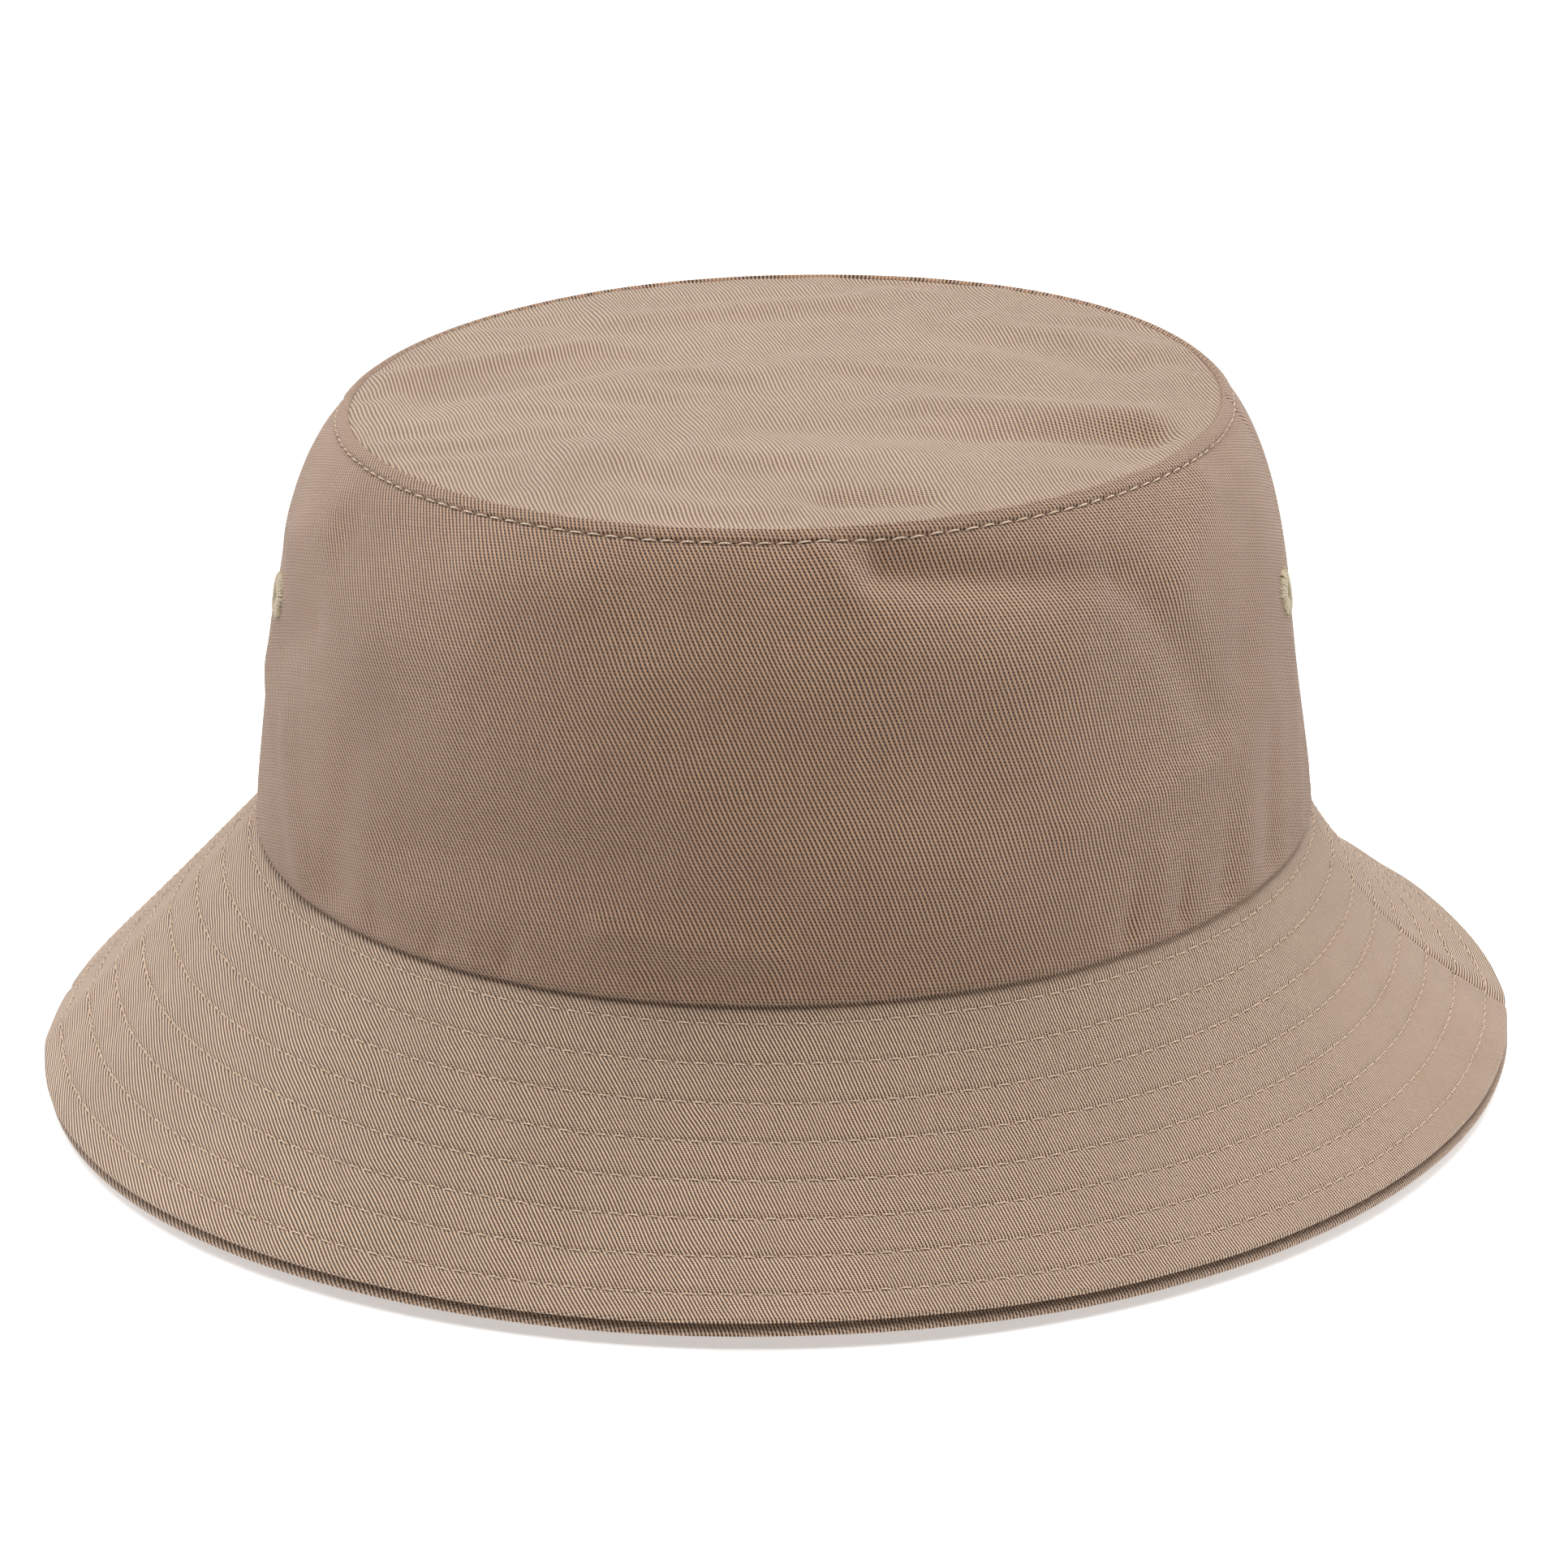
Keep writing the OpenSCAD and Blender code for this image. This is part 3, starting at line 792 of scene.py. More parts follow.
# Painted shade: the lining's copy is darker than the brim's, for the shade under the brim.
TWILL_UNDER_PAINTED_SHADE = twill("tan_twill_under_painted_shade", (0.73, 0.504, 0.354), (0.56, 0.38, 0.264), (0.055, 0.028, 0.014),
                    *BRIM_WEAVE)
THREAD = thread("tan_thread", (0.80, 0.62, 0.46), (0.63, 0.475, 0.345))
EYELET = thread("eyelet_thread", (0.60, 0.505, 0.345), (0.44, 0.36, 0.238), 0.5, 0.6, 0.3)
TAPE = herringbone("herringbone_tape", (0.55, 0.40, 0.29), (0.42, 0.30, 0.21))
FLEECE = fleece("pressed_interlining", (0.80, 0.78, 0.73), (0.66, 0.64, 0.59))
LABEL = satin("label_satin", (0.84, 0.80, 0.72), (0.72, 0.68, 0.60))


# ---------------------------------------------------------------- grids over the hat

EDGE_STEPS = np.array([0.0, 0.03, 0.10, 0.20, 0.35])  # mm in from a cloth's edge, where it rounds off
ROUND = 0.35


def rounded(from_edge, radius=ROUND):
    """How far a cloth's face drops at a distance in from its rounded edge."""
    d = np.clip(from_edge / radius, 0, 1)
    return radius * (1 - np.sqrt(np.clip(1 - (1 - d) ** 2, 0, 1)))


def half_angles(start, radius, pitch):
    """Angles over half the hat from start, finest at both ends, and each one's distance from the ends."""
    length = math.pi * radius
    inner = np.linspace(EDGE_STEPS[-1], length - EDGE_STEPS[-1], round(length / pitch))
    s = np.concatenate([EDGE_STEPS[:-1], inner, length - EDGE_STEPS[:-1][::-1]])
    return start + s / radius, np.minimum(s, length - s)


def merged(values, least):
    """The values in order, without any that lie closer than least to the one before."""
    kept = []
    for v in sorted(values):
        if not kept or v - kept[-1] >= least:
            kept.append(v)
    return np.array(kept)


def sector(angle, middle_angle, distance, inner_r, opening):
    """Flat pattern of half a ring: (x, y) in mm of cut cloth, with the grain up its middle."""
    a = (angle - middle_angle) / math.pi * opening
    r = inner_r + distance
    return np.stack([r * np.sin(a), -r * np.cos(a)], -1)


# ---------------------------------------------------------------- crown

def crown_rows():
    """Distances below the top seam, down the crown's side, close together at its seams."""
    fine = list(EDGE_STEPS) + [0.6, 0.9, 1.25, 1.6, 1.9, 2.15, 2.35, 2.5, 2.6, 2.7, 2.85, 3.05, 3.3, 3.65,
                               4.1, 4.7, 5.5]
    low = [CROWN_SIDE - d for d in list(EDGE_STEPS) + [0.5, 0.75, 1.05, 1.4, 1.9, 2.6]]
    plain = np.arange(6.6, CROWN_SIDE - 3.4, 1.15)
    return merged(fine + list(plain) + low, 0.02)


EYELETS = [("right", "front"), ("right", "back"), ("left", "front"), ("left", "back")]
EYELET_CUT = 1.75  # radius of the hole that is cut in the cloth, hidden under the thread


def eyelet_place(side, end):
    """Where an eyelet stands on the cloth: its angle round the hat and its height share."""
    c = middle(f"eyelet_{side}_{end}")
    angle = math.atan2(c[0] / SEAM_X, -c[1] / SEAM_Y) % TURN
    t = np.linspace(0.3, 0.8, 400)
    z = crown_surface(np.full_like(t, angle), t)[:, 2]
    return angle, float(np.interp(c[2], z, t))


def side_seam_dent(from_end):
    return -0.35 * np.exp(-(from_end / 1.3) ** 2)


BAND_PATTERN_R, BAND_OPENING = 370.0, 0.81  # outer radius and opening in radians of the flat half band


def crown_band(name, start, end):
    angles, from_end = half_angles(start, SEAM_X, 0.78)
    below = crown_rows()[::-1]
    share = crown_share(below)
    a, t = np.meshgrid(angles, share, indexing="ij")
    d = np.broadcast_to(below, a.shape)
    ends = np.broadcast_to(from_end[:, None], a.shape)
    edge = np.maximum(rounded(ends), np.maximum(rounded(d, 0.35), rounded(CROWN_SIDE - d)))
    relief = crown_relief(a, t, d) + side_seam_dent(ends)
    outer = crown_surface(a, t, edge - relief)
    inner = crown_surface(a, t, np.maximum(CLOTH - edge, edge + 0.02) - np.clip(relief, -9, 0.1))
    middle_angle = start + math.pi / 2
    flat = sector(a, middle_angle, d, BAND_PATTERN_R - CROWN_SIDE, BAND_OPENING)
    hole = np.zeros((len(angles) - 1, len(share) - 1), bool)
    for side in ("right", "left"):
        ea, et = eyelet_place(side, end)
        centre = crown_surface(np.array([ea]), np.array([et]))[0]
        near = np.linalg.norm(outer - centre, axis=-1) < EYELET_CUT
        hole |= near[1:, 1:] | near[:-1, 1:] | near[1:, :-1] | near[:-1, :-1]
    return shell(name, outer, inner, flat, TWILL_SIDE_PAINTED_SHADE, hole=hole)


PANEL_GRAIN = 8.0  # how far the panel's grain is turned from straight to the back, in degrees


def top_panel():
    """The oval panel, on rings of a square grid, so that its cells stay even right to the middle."""
    rim_r = 76.0
    from_rim = np.array([0.0, 0.1, 0.25, 0.45, 0.7, 1.0, 1.4, 1.9, 2.6, 3.4])
    radii = np.concatenate([np.linspace(0, rim_r - 4.3, 72), rim_r - from_rim[::-1]])
    count = len(radii) - 1
    i, j = np.meshgrid(np.arange(-count, count + 1), np.arange(-count, count + 1), indexing="ij")
    angle, ring_number = ring_place(i, j)
    s = radii[ring_number] / rim_r
    drop = 1.25 * rounded(rim_r * (1 - s), 0.8)
    top = panel_point(angle, s)
    grain = math.radians(PANEL_GRAIN)
    cos, sin = math.cos(grain), math.sin(grain)
    flat = top[..., :2] @ np.array([[cos, sin], [-sin, cos]])
    under = top - [0, 0, CLOTH]
    top[..., 2] -= drop
    under[..., 2] = np.minimum(under[..., 2], top[..., 2] - 0.1)
    return shell("top_panel", top, under, flat, TWILL)


# ---------------------------------------------------------------- brim

STIFFENER = 0.8
UNDER_DEPTH = CLOTH + STIFFENER + 0.1
BRIM_DEPTH = UNDER_DEPTH + CLOTH
LIP = 5.0  # how far the brim's cloths reach up inside the crown
UPPER_LIP, UNDER_LIP = 0.85, 1.7  # depths of their turned-up edges inside the crown's outer face


def brim_distances():
    """Distances out over the brim, close together at each row of stitching and at the edge."""
    near = [-1.05, -0.6, -0.28, 0.0, 0.28, 0.6, 1.05]
    rows = [row.share * BRIM_WIDTH + d for row in brim_rows for d in near]
    pitch = (ROW_SHARES[1] - ROW_SHARES[0]) * BRIM_WIDTH
    between = [row.share * BRIM_WIDTH + pitch * k for row in brim_rows[:-1] for k in (0.33, 0.5, 0.67)]
    inner = [0.0, 0.5, 1.1, 1.7]
    outer = [BRIM_WIDTH - d for d in (0.0, 0.03, 0.1, 0.2, 0.35, 0.55, 0.8, 1.3, 2.0, 2.8, 3.5)]
    return merged(rows + between + inner + outer, 0.02)


def brim_layer(angle, distance, depth, lip_depth):
    """Brim points at a depth, whose inner rows (distance below 0) turn up inside the crown."""
    out = brim_surface(angle, np.clip(distance, 0.3, None) / BRIM_WIDTH, depth)
    up = crown_surface(angle, np.clip(-distance, 0.2, None) / CROWN_SIDE, lip_depth)
    return np.where((distance < 0)[..., None], up, out)


BRIM_PATTERN_R, BRIM_OPENING = 141.0, 2.13  # inner radius and opening in radians of the flat half brim


def brim_grid(start, pitch):
    angles, from_end = half_angles(start, EDGE_X, pitch)
    distance = np.concatenate([[-LIP, -3.4, -1.8, -0.5], brim_distances()[1:]])
    a, d = np.meshgrid(angles, distance, indexing="ij")
    ends = np.broadcast_to(from_end[:, None], a.shape)
    flat = sector(a, start + math.pi / 2, d, BRIM_PATTERN_R, BRIM_OPENING)
    return a, d, ends, flat


def turned_edge(distance):
    """Extra thickness where a cloth's edge is turned in."""
    return 0.3 * np.clip((distance - (BRIM_WIDTH - 5)) / 1.5, 0, 1)


def brim_upper(name, start):
    a, d, ends, flat = brim_grid(start, 0.9)
    edge = np.maximum(rounded(ends), rounded(BRIM_WIDTH - d, 0.6))
    relief = brim_relief(a, d / BRIM_WIDTH) + side_seam_dent(ends)
    thick = CLOTH + turned_edge(d)
    low = np.maximum(thick - edge, edge + 0.02)
    outer = brim_layer(a, d, edge - relief, UPPER_LIP)
    inner = brim_layer(a, d, low - 0.8 * relief, UPPER_LIP + CLOTH)
    return shell(name, outer, inner, flat, TWILL_BRIM_PAINTED_LIGHT)


def brim_under(name, start):
    a, d, ends, flat = brim_grid(start, 1.2)
    edge = np.maximum(rounded(ends), rounded(BRIM_WIDTH - d, 0.6))
    relief = brim_relief(a, d / BRIM_WIDTH) + side_seam_dent(ends)
    thick = CLOTH + turned_edge(d)
    # near the edge the lining hangs a little away from the interlining, more in some places than in others
    slack = 0.55 * np.clip((d - BRIM_WIDTH + 6) / 6, 0, 1) * (0.7 + 0.3 * np.sin(4 * a + 0.5))
    top = UNDER_DEPTH + slack + edge
    low = np.maximum(UNDER_DEPTH + slack + thick - edge, top + 0.02)
    # the lining's edge stands out past the upper cloth's
    beyond = d + 1.1 * np.clip((d - BRIM_WIDTH + 5) / 5, 0, 1) ** 2
    outer = brim_layer(a, beyond, top + 0.2 * relief, UNDER_LIP)
    inner = brim_layer(a, beyond, low + 0.9 * relief, UNDER_LIP + CLOTH)
    return shell(name, outer, inner, flat, TWILL_UNDER_PAINTED_SHADE)


INTERLINING_R = 110  # middle radius of the interlining, which turns angles into lengths along it


def brim_interlining(name):
    angles = np.arange(360) / 360 * TURN
    distance = np.concatenate([[1.5], brim_distances()[6:-9]])
    a, d = np.meshgrid(angles, distance, indexing="ij")
    relief = brim_relief(a, d / BRIM_WIDTH)
    top = brim_surface(a, d / BRIM_WIDTH, CLOTH + 0.05 - 0.6 * relief)
    low = brim_surface(a, d / BRIM_WIDTH, CLOTH + 0.05 + STIFFENER + 0.2 * relief)
    around = np.concatenate([a, a[:1] + TURN])
    flat = np.stack([around * INTERLINING_R, np.concatenate([d, d[:1]])], -1)
    return shell(name, top, low, flat, FLEECE, closed=True)


# ---------------------------------------------------------------- stitches

rng = np.random.default_rng(7)


def stitches(row, surface, depth, side, shares, width=0.12, height=0.11, dive=0.42):
    """A closed row of lock stitches on one face of the cloth. side is 1 on the outer face, -1 on the other.

    depth is the face's depth at the row, at each needle hole and in the middle of each stitch.
    """
    steps = np.linspace(0, 1, 9)
    count = row.count
    jitter = rng.normal(0, 0.02, (count, 2))
    begin = np.arange(count)[:, None] + 0.09 + jitter[:, :1]
    phase = begin + (0.82 + jitter[:, 1:]) * steps
    angle = row.angle(phase % count)
    arch = np.sin(math.pi * steps) ** 0.6
    hole_depth, middle_depth = depth
    face = hole_depth + (middle_depth - hole_depth) * np.sin(math.pi * np.clip(phase - begin, 0, 1))
    lean = rng.normal(0, 0.03, (count, 1)) + 0.10 * (steps - 0.5)
    share = np.full_like(angle, row.share) + (lean + 0.02) * shares
    level = face - side * (height * 0.9 * arch - dive * (1 - arch))
    points = surface(angle, share, level)
    across = surface(angle, share + 0.003, level) - points
    taper = 0.75 + 0.25 * arch
    return points, across, width * taper, height * taper


def stitched_row(name, rows_of_points, material):
    """Joins several sets of stitches into one object."""
    points = np.concatenate([r[0] for r in rows_of_points])
    across = np.concatenate([r[1] for r in rows_of_points])
    wide = np.concatenate([r[2] + np.zeros(r[0].shape[:2]) for r in rows_of_points])
    high = np.concatenate([r[3] + np.zeros(r[0].shape[:2]) for r in rows_of_points])
    return tubes(name, points, across, wide, high, material)


def brim_row(number):
    row = brim_rows[number]
    upper = stitches(row, brim_surface, (0.20, -0.02), 1, 1 / BRIM_WIDTH)
    under = stitches(row, brim_surface, (BRIM_DEPTH - 0.20, BRIM_DEPTH - 0.09), -1, 1 / BRIM_WIDTH)
    return stitched_row(f"brim_stitches_{number + 1}", [upper, under], THREAD)


def topstitch():
    upper = stitches(crown_row, crown_surface, (0.02, -0.16), 1, 1 / CROWN_SIDE, 0.16)
    under = stitches(crown_row, crown_surface, (2.35, 2.35), -1, 1 / CROWN_SIDE)
    return stitched_row("crown_stitches", [upper, under], THREAD)


# ---------------------------------------------------------------- eyelets

def eyelet(side, end):
    """Satin stitches packed round a hole, each one a loop over the outer face and back on the inner one."""
    angle, share = eyelet_place(side, end)
    a, t = np.array([angle]), np.array([share])
    centre = crown_surface(a, t)[0]
    out = normals_of(crown_surface, a, t)[0]
    up = np.array([0, 0, 1.0]) - out * out[2]
    up /= np.linalg.norm(up)
    right = np.cross(up, out)
    count = 44
    rim_r, hole_r = 3.95, 1.22
    turn = (np.arange(count) + rng.normal(0, 0.10, count)) / count * TURN
    reach = rim_r + rng.normal(0, 0.13, (count, 1))
    profile = np.array([(1.0, 0.0), (0.97, 0.16), (0.86, 0.34), (0.62, 0.50), (0.36, 0.55), (0.14, 0.45),
                        (0.02, 0.15), (0.0, -0.35), (0.03, -1.00), (0.20, -1.32), (0.45, -1.38),
                        (0.72, -1.22), (0.93, -1.0), (0.99, -0.5)])
    r = hole_r + (reach - hole_r) * profile[:, 0]
    h = profile[:, 1] + rng.normal(0, 0.03, (count, 1))
    cos, sin = np.cos(turn)[:, None, None], np.sin(turn)[:, None, None]
    radial = right * cos + up * sin
    sideways = -right * sin + up * cos
    paths = centre + radial * r[..., None] + out * h[..., None]
    # the thread narrows towards the hole, where there is less room for it
    wide = math.pi * r / count * 1.12
    return tubes(f"eyelet_threads_{side}_{end}", paths, np.broadcast_to(sideways, paths.shape), wide, 0.19,
                 EYELET, closed=True)


# ---------------------------------------------------------------- inside the crown

INSIDE_R = 88.0  # radius inside the crown, which turns widths into angles


def ring_shell(name, from_mm, to_mm, top_depth, low_depth, material, columns=420, rows=14, wave=0.0):
    """A band of cloth inside the crown, between two distances above the brim seam.

    from_mm may be one distance or a function of the angle.
    """
    angles = np.arange(columns) / columns * TURN
    start = from_mm(angles)[:, None] if callable(from_mm) else np.full((columns, 1), float(from_mm))
    width = to_mm - start
    share = (np.arange(rows) + 0.5) / rows
    up = np.concatenate([np.broadcast_to(EDGE_STEPS, (columns, 5)), 0.5 + (width - 1.0) * share,
                         width - EDGE_STEPS[::-1]], 1)
    a, d = np.broadcast_arrays(angles[:, None], start + up)
    edge = np.minimum(rounded(np.minimum(up, width - up)), (low_depth - top_depth) / 2 - 0.02)
    ripple = wave * np.sin(7 * a + 1.0) * np.sin(math.pi * up / width)
    outer = crown_surface(a, d / CROWN_SIDE, top_depth + edge + ripple)
    inner = crown_surface(a, d / CROWN_SIDE, low_depth - edge + ripple)
    around = np.concatenate([a, a[:1] + TURN])
    flat = np.stack([around * INSIDE_R, np.concatenate([d, d[:1]])], -1)
    return shell(name, outer, inner, flat, material, closed=True)


def tape_edge(angle):
    """Distance above the brim seam of the top seam tape's lower edge, which stays level all round."""
    low, high = seam_ring(angle)[..., 2], top_ring(angle)[..., 2]
    return (tape_low[2] - low) / (high - low) * CROWN_SIDE


def patch(name, centre_angle, width, from_mm, to_mm, top_depth, low_depth, material, cell=0.8):
    """A strip or label inside the crown, between two distances above the brim seam."""
    half = width / 2 / INSIDE_R
    side = EDGE_STEPS / INSIDE_R
    inner = np.linspace(-half + side[-1] * 2, half - side[-1] * 2, max(round(width / cell), 3))
    angles = centre_angle + np.concatenate([-half + side, inner, half - side[::-1]])
    length = to_mm - from_mm
    up = from_mm + np.concatenate([EDGE_STEPS, np.linspace(0.8, length - 0.8, max(round(length / cell), 3)),
                                   length - EDGE_STEPS[::-1]])
    a, d = np.meshgrid(angles, up, indexing="ij")
    ends = (half - np.abs(a - centre_angle)) * INSIDE_R
    edge = rounded(np.minimum(ends, np.minimum(d - from_mm, to_mm - d)))
    edge = np.minimum(edge, (low_depth - top_depth) / 2 - 0.02)
    outer = crown_surface(a, d / CROWN_SIDE, top_depth + edge)
    inner = crown_surface(a, d / CROWN_SIDE, low_depth - edge)
    flat = np.stack([(a - centre_angle) * INSIDE_R, d - from_mm], -1)
    return shell(name, outer, inner, flat, material)


SWEAT_DEPTH, SWEAT = 2.8, 1.2  # the sweatband's depth inside the crown's outer face, and its thickness
SWEAT_H = sweat_high[2] - sweat_low[2]
TAPE_W = 12.0
SEAM_TAPE_DEPTHS, SIDE_TAPE_DEPTHS = (1.7, 2.2), (0.8, 1.35)  # of the tapes' outer and inner faces
LABEL_W, LABEL_H = 42.0, 17.0
LABEL_DROP = 4  # from the sweatband's upper edge down to the size label


def sweatband():
    return ring_shell("sweatband_tape", 0.2, SWEAT_H, SWEAT_DEPTH, SWEAT_DEPTH + SWEAT, TAPE, wave=0.15)


def sweatband_stitches():
    row = Row(crown_surface, 2.5 / CROWN_SIDE)
    face = SWEAT_DEPTH + SWEAT - 0.05
    lower = stitches(row, crown_surface, (face, face), -1, 1 / CROWN_SIDE)
    return stitched_row("sweatband_stitches", [lower], THREAD)


def label_stitches():
    """Two lines of stitching that hold the size label."""
    pitch = 2.4
    half = LABEL_W * 0.47 / INSIDE_R
    count = int(2 * half * INSIDE_R / pitch)
    steps = np.linspace(0, 1, 7)
    sets = []
    for up in (SWEAT_H - LABEL_DROP - 1.3, SWEAT_H - LABEL_DROP - LABEL_H + 1.3):
        place = math.pi - half + (np.arange(count)[:, None] + 0.06 + 0.88 * steps) * pitch / INSIDE_R
        arch = np.sin(math.pi * steps) ** 0.6
        depth = SWEAT_DEPTH + SWEAT + 0.5 + 0.10 * arch - 0.25 * (1 - arch) + 0 * place
        share = np.full_like(place, up / CROWN_SIDE)
        points = crown_surface(place, share, depth)
        across = crown_surface(place, share + 0.003, depth) - points
        sets.append((points, across, np.full(place.shape, 0.14), np.full(place.shape, 0.11)))
    return stitched_row("size_label_stitches", sets, THREAD)


CARE_DROP = 1.1  # from the top of the part's care label down to this one's, which clears the tape


def care_label():
    """A strip of label satin folded in half, hanging by its two ends just below the top seam's tape.

    It keeps clear of the tape when it swings up.
    """
    width = care_high[1] - care_low[1]
    high = tape_edge(np.array([-math.pi / 2])) / CROWN_SIDE
    middle_x = crown_surface(np.array([-math.pi / 2]), high, 1.8)[0, 0]
    top_z = care_high[2] - CARE_DROP
    drop = top_z - care_low[2]
    fold = 1.2  # height of the rounded fold at the bottom
    turn = np.linspace(0.2, 1, 8) * math.pi / 2
    down = np.concatenate([np.linspace(0, drop - fold, 40), drop - fold + fold * np.sin(turn)])
    gap = 0.17 + 0.12 * np.sin(math.pi * down / drop)
    gap[-len(turn):] = gap[-len(turn) - 1] * np.cos(turn)
    side_x = np.concatenate([-gap, gap[:-1][::-1]])
    side_z = np.concatenate([down, down[:-1][::-1]])
    y = np.concatenate([[-0.5, -0.497, -0.49], np.linspace(-0.47, 0.47, 24), [0.49, 0.497, 0.5]]) * width
    grid_y, k = np.meshgrid(y, np.arange(len(side_x)), indexing="ij")
    curl = 0.5 * (side_z[k] / drop) ** 2 * (1 - (2 * grid_y / width) ** 2)
    line = np.stack([side_x, -side_z], -1)
    tangent = np.gradient(line, axis=0)
    tangent /= np.linalg.norm(tangent, axis=1, keepdims=True)
    normal = np.stack([tangent[:, 1], -tangent[:, 0]], -1)

    def face(offset):
        shifted = line + normal * offset
        return np.stack([middle_x + shifted[k, 0] + curl, grid_y, top_z + shifted[k, 1]], -1)

    distance = spaced(line)
    flat = np.stack([grid_y, distance[k]], -1)
    return shell("care_label_strip", face(0.08), face(-0.08), flat, LABEL)


# ---------------------------------------------------------------- assemble the hat

def finish_piece(obj, nodes, body="hat"):
    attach(obj, body)
    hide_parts(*nodes)
    return obj


FRONT, BACK = -math.pi / 2, math.pi / 2
stitch_rows = [finish_piece(brim_row(number), [f"brim_stitch_row_{number + 1}"])
               for number in range(ROWS)]
crown_stitches = finish_piece(topstitch(), ["crown_topstitch"])
eyelets = {(side, end): finish_piece(eyelet(side, end), [f"eyelet_{side}_{end}"])
           for side, end in EYELETS}

top = finish_piece(top_panel(), ["crown_top"])
for end, start in (("front", FRONT), ("back", BACK)):
    band = finish_piece(crown_band(f"band_{end}", start, end), [f"crown_band_{end}"])
    cloth = finish_piece(brim_upper(f"brim_cloth_{end}", start), [f"brim_top_{end}"])
    lining = finish_piece(brim_under(f"brim_lining_{end}", start), [f"brim_under_{end}"])
stiffener = finish_piece(brim_interlining("brim_stiffener"), ["brim_interlining"])
sweat = finish_piece(sweatband(), ["sweatband"])
sweat_stitches = finish_piece(sweatband_stitches(), ["sweatband_stitch"])
tape = finish_piece(ring_shell("seam_tape", tape_edge, CROWN_SIDE - 1.5, *SEAM_TAPE_DEPTHS, TAPE, rows=10),
                    ["top_seam_tape"])
strip_start = SWEAT_H - 2
strip_length = CROWN_SIDE - TAPE_W - 1 - strip_start
for side, place in (("right", math.pi / 2), ("left", -math.pi / 2)):
    strip = patch(f"side_tape_{side}", place, TAPE_W, strip_start, strip_start + strip_length,
                  *SIDE_TAPE_DEPTHS, TAPE)
    finish_piece(strip, [f"side_seam_tape_{side}"])
face = SWEAT_DEPTH + SWEAT + 0.1
label_top = SWEAT_H - LABEL_DROP
label = patch("size_label_strip", math.pi, LABEL_W, label_top - LABEL_H, label_top, face, face + 0.4, LABEL)
finish_piece(label, ["size_label"])
label_rows = finish_piece(label_stitches(), ["size_label_stitch"])
care = finish_piece(care_label(), ["care_label"], "care_label")


# ---------------------------------------------------------------- floor, light and camera

def pale_material(name, under, far):
    """Pale studio paper.

    It glows a little under the hat, where its shadow would be black, and far off, where no light reaches.
    """
    n = Nodes(name)
    place = n.place()
    split = n.tree.nodes.new("ShaderNodeSeparateXYZ")
    n.feed(place, split.inputs[0])
    x, y = split.outputs[0], split.outputs[1]
    distance = n.math("SQRT", n.add(n.times(x, x), n.times(y, y)))
    cloud = n.noise(place, 1.5, 3.0)
    glow = n.add(n.step(distance, 0.145, 0.20, under, 0.0), n.step(distance, 0.45, 1.3, 0.0, far))
    n.set(Base_Color=n.mix(cloud, (0.916, 0.916, 0.916), (0.93, 0.93, 0.93)), Roughness=0.9,
          Specular_IOR_Level=0.2, Emission_Color=(1, 1, 1, 1), Emission_Strength=glow)
    return n.material


bpy.ops.mesh.primitive_grid_add(x_subdivisions=8, y_subdivisions=8, size=8.0, location=(0, 0, 0))
floor = bpy.context.object
floor.name = "floor"
floor.data.materials.append(pale_material("pale_floor", 0.45, 0.85))

# A low pale wall all round, which only the camera sees: it casts no light or shadow on the hat.
bpy.ops.mesh.primitive_cylinder_add(vertices=96, radius=3.6, depth=1.6, end_fill_type="NOTHING",
                                    location=(0, 0, 0.8))
wall = bpy.context.object
wall.name = "backdrop"
wall.data.materials.append(pale_material("pale_wall", 0.0, 0.95))
wall.visible_diffuse = wall.visible_glossy = wall.visible_shadow = False


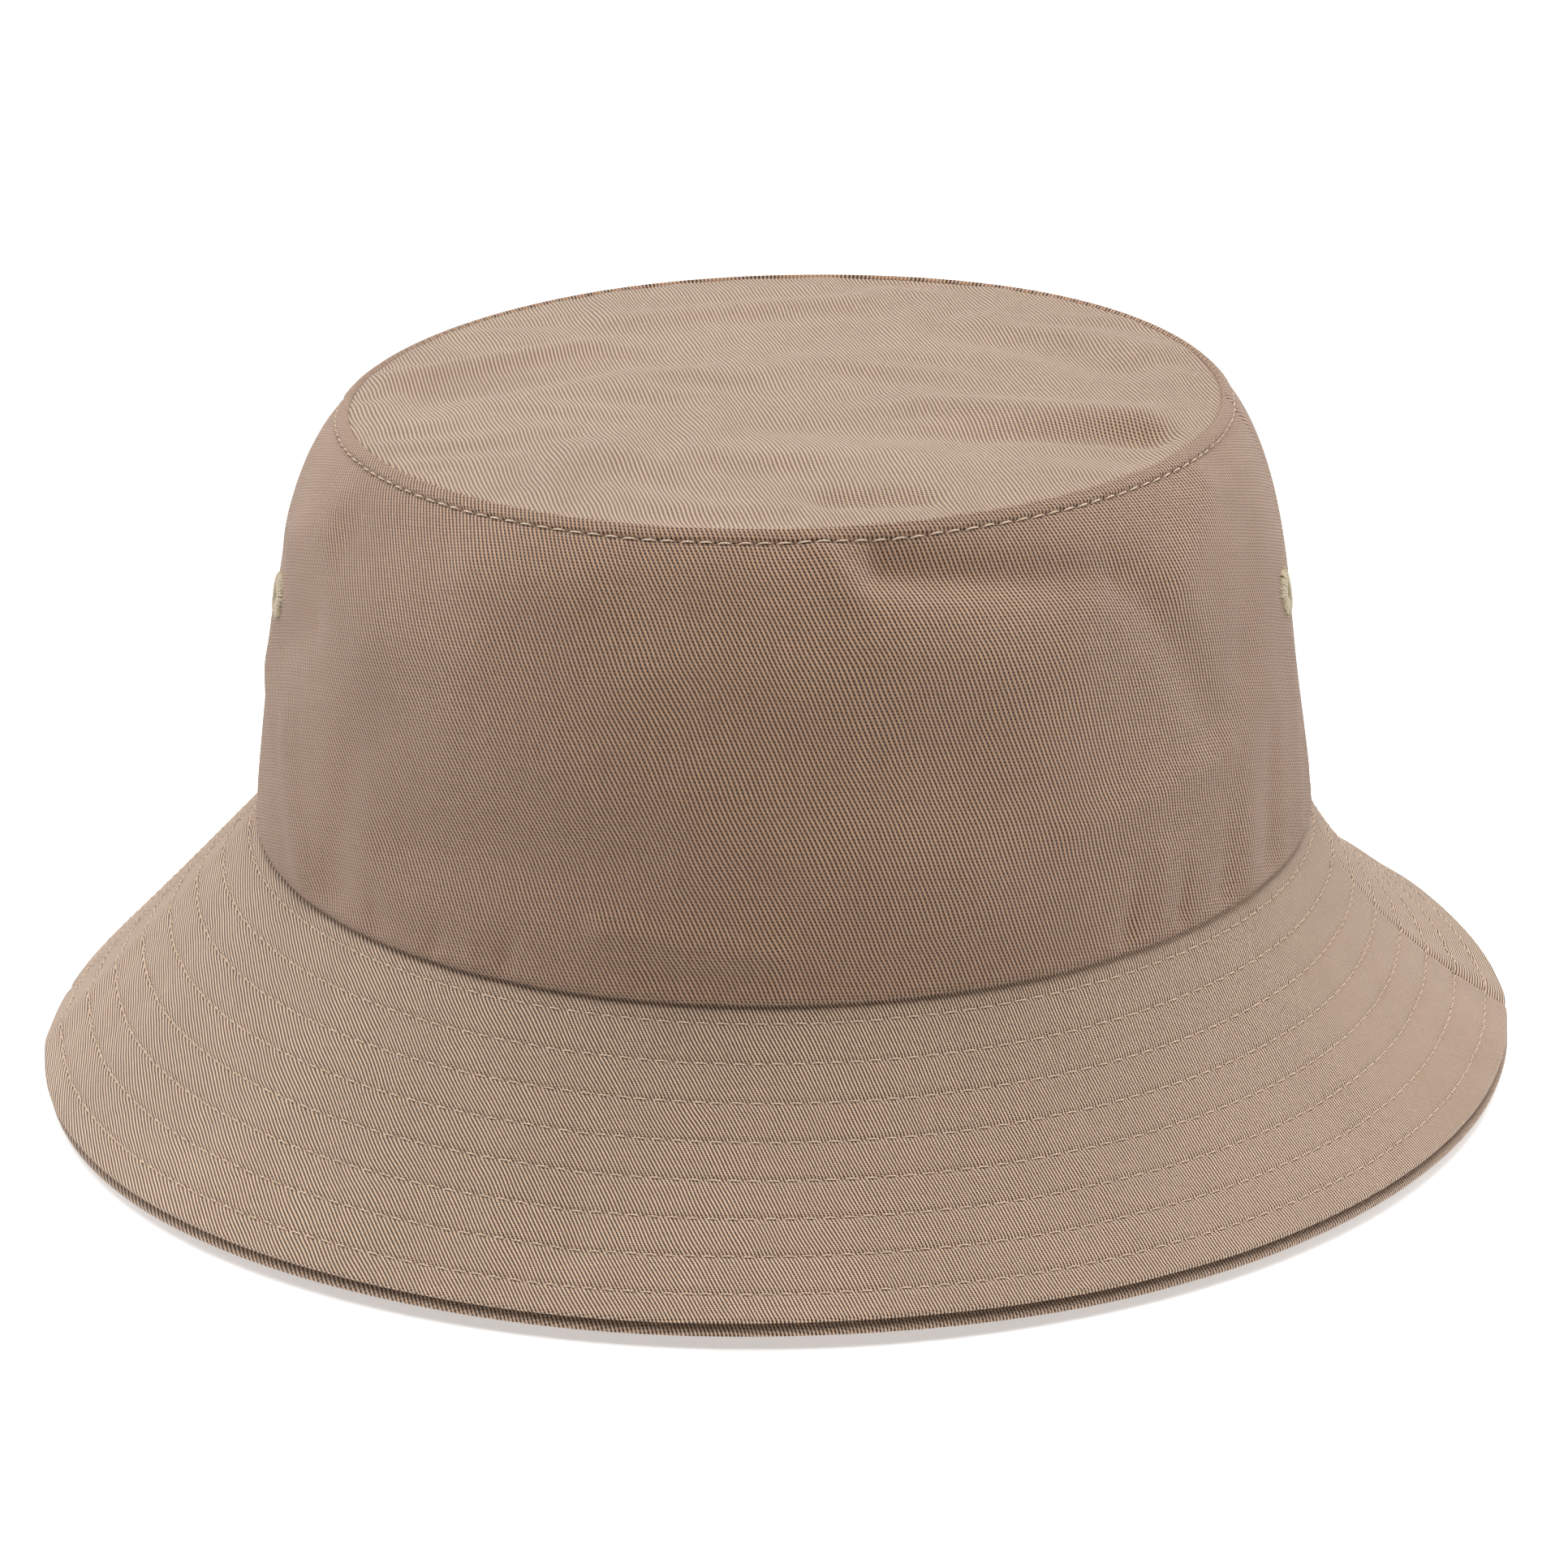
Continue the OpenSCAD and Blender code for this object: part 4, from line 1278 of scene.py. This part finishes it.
def softbox(name, place, target, size_x, size_y, power, colour=(1, 1, 1)):
    light = bpy.data.lights.new(name, "AREA")
    light.shape = "RECTANGLE"
    light.size, light.size_y = size_x, size_y
    light.energy = power
    light.color = colour
    obj = bpy.data.objects.new(name, light)
    bpy.context.scene.collection.objects.link(obj)
    obj.location = place
    obj.rotation_euler = (Vector(target) - Vector(place)).to_track_quat("-Z", "Y").to_euler()


softbox("overhead", (0, -0.10, 1.35), (0, 0, 0), 1.4, 1.4, 28)
softbox("backdrop", (0, 1.9, 0.95), (0, 0.3, 0.0), 3.2, 1.2, 15)
softbox("left_side", (-1.2, 0.3, 0.5), (0, 0, 0.06), 0.9, 0.9, 7.5)
softbox("right_side", (1.2, 0.3, 0.5), (0, 0, 0.06), 0.9, 0.9, 6.5)

world = bpy.data.worlds.new("studio")
bpy.context.scene.world = world
world.use_nodes = True
world.node_tree.nodes["Background"].inputs["Color"].default_value = (1, 0.95, 0.9, 1)
world.node_tree.nodes["Background"].inputs["Strength"].default_value = 0.08

# The camera stands 0.95 m from the hat, a little to its right, and looks down on it.
DISTANCE, ELEVATION, AZIMUTH, ROLL = 0.95, 19.53, 4.62, -0.67  # in metres and degrees
e, a, r = (math.radians(v) for v in (ELEVATION, AZIMUTH, ROLL))
back = Vector((math.sin(a) * math.cos(e), -math.cos(a) * math.cos(e), math.sin(e)))
right = Vector((math.cos(a), math.sin(a), 0))
up = back.cross(right)
x_axis = right * math.cos(r) + up * math.sin(r)
y_axis = up * math.cos(r) - right * math.sin(r)
target = Vector((0, 0, 0.0525))
camera = bpy.data.objects.new("camera", bpy.data.cameras.new("camera"))
bpy.context.scene.collection.objects.link(camera)
camera.matrix_world = (Matrix.Translation(target + back * DISTANCE)
                       @ Matrix((x_axis, y_axis, back)).transposed().to_4x4())
camera.data.sensor_width = 36
camera.data.lens = 124.3
camera.data.shift_x, camera.data.shift_y = 0.0037, -0.0269
bpy.context.scene.camera = camera
bpy.context.scene.view_settings.view_transform = "Standard"
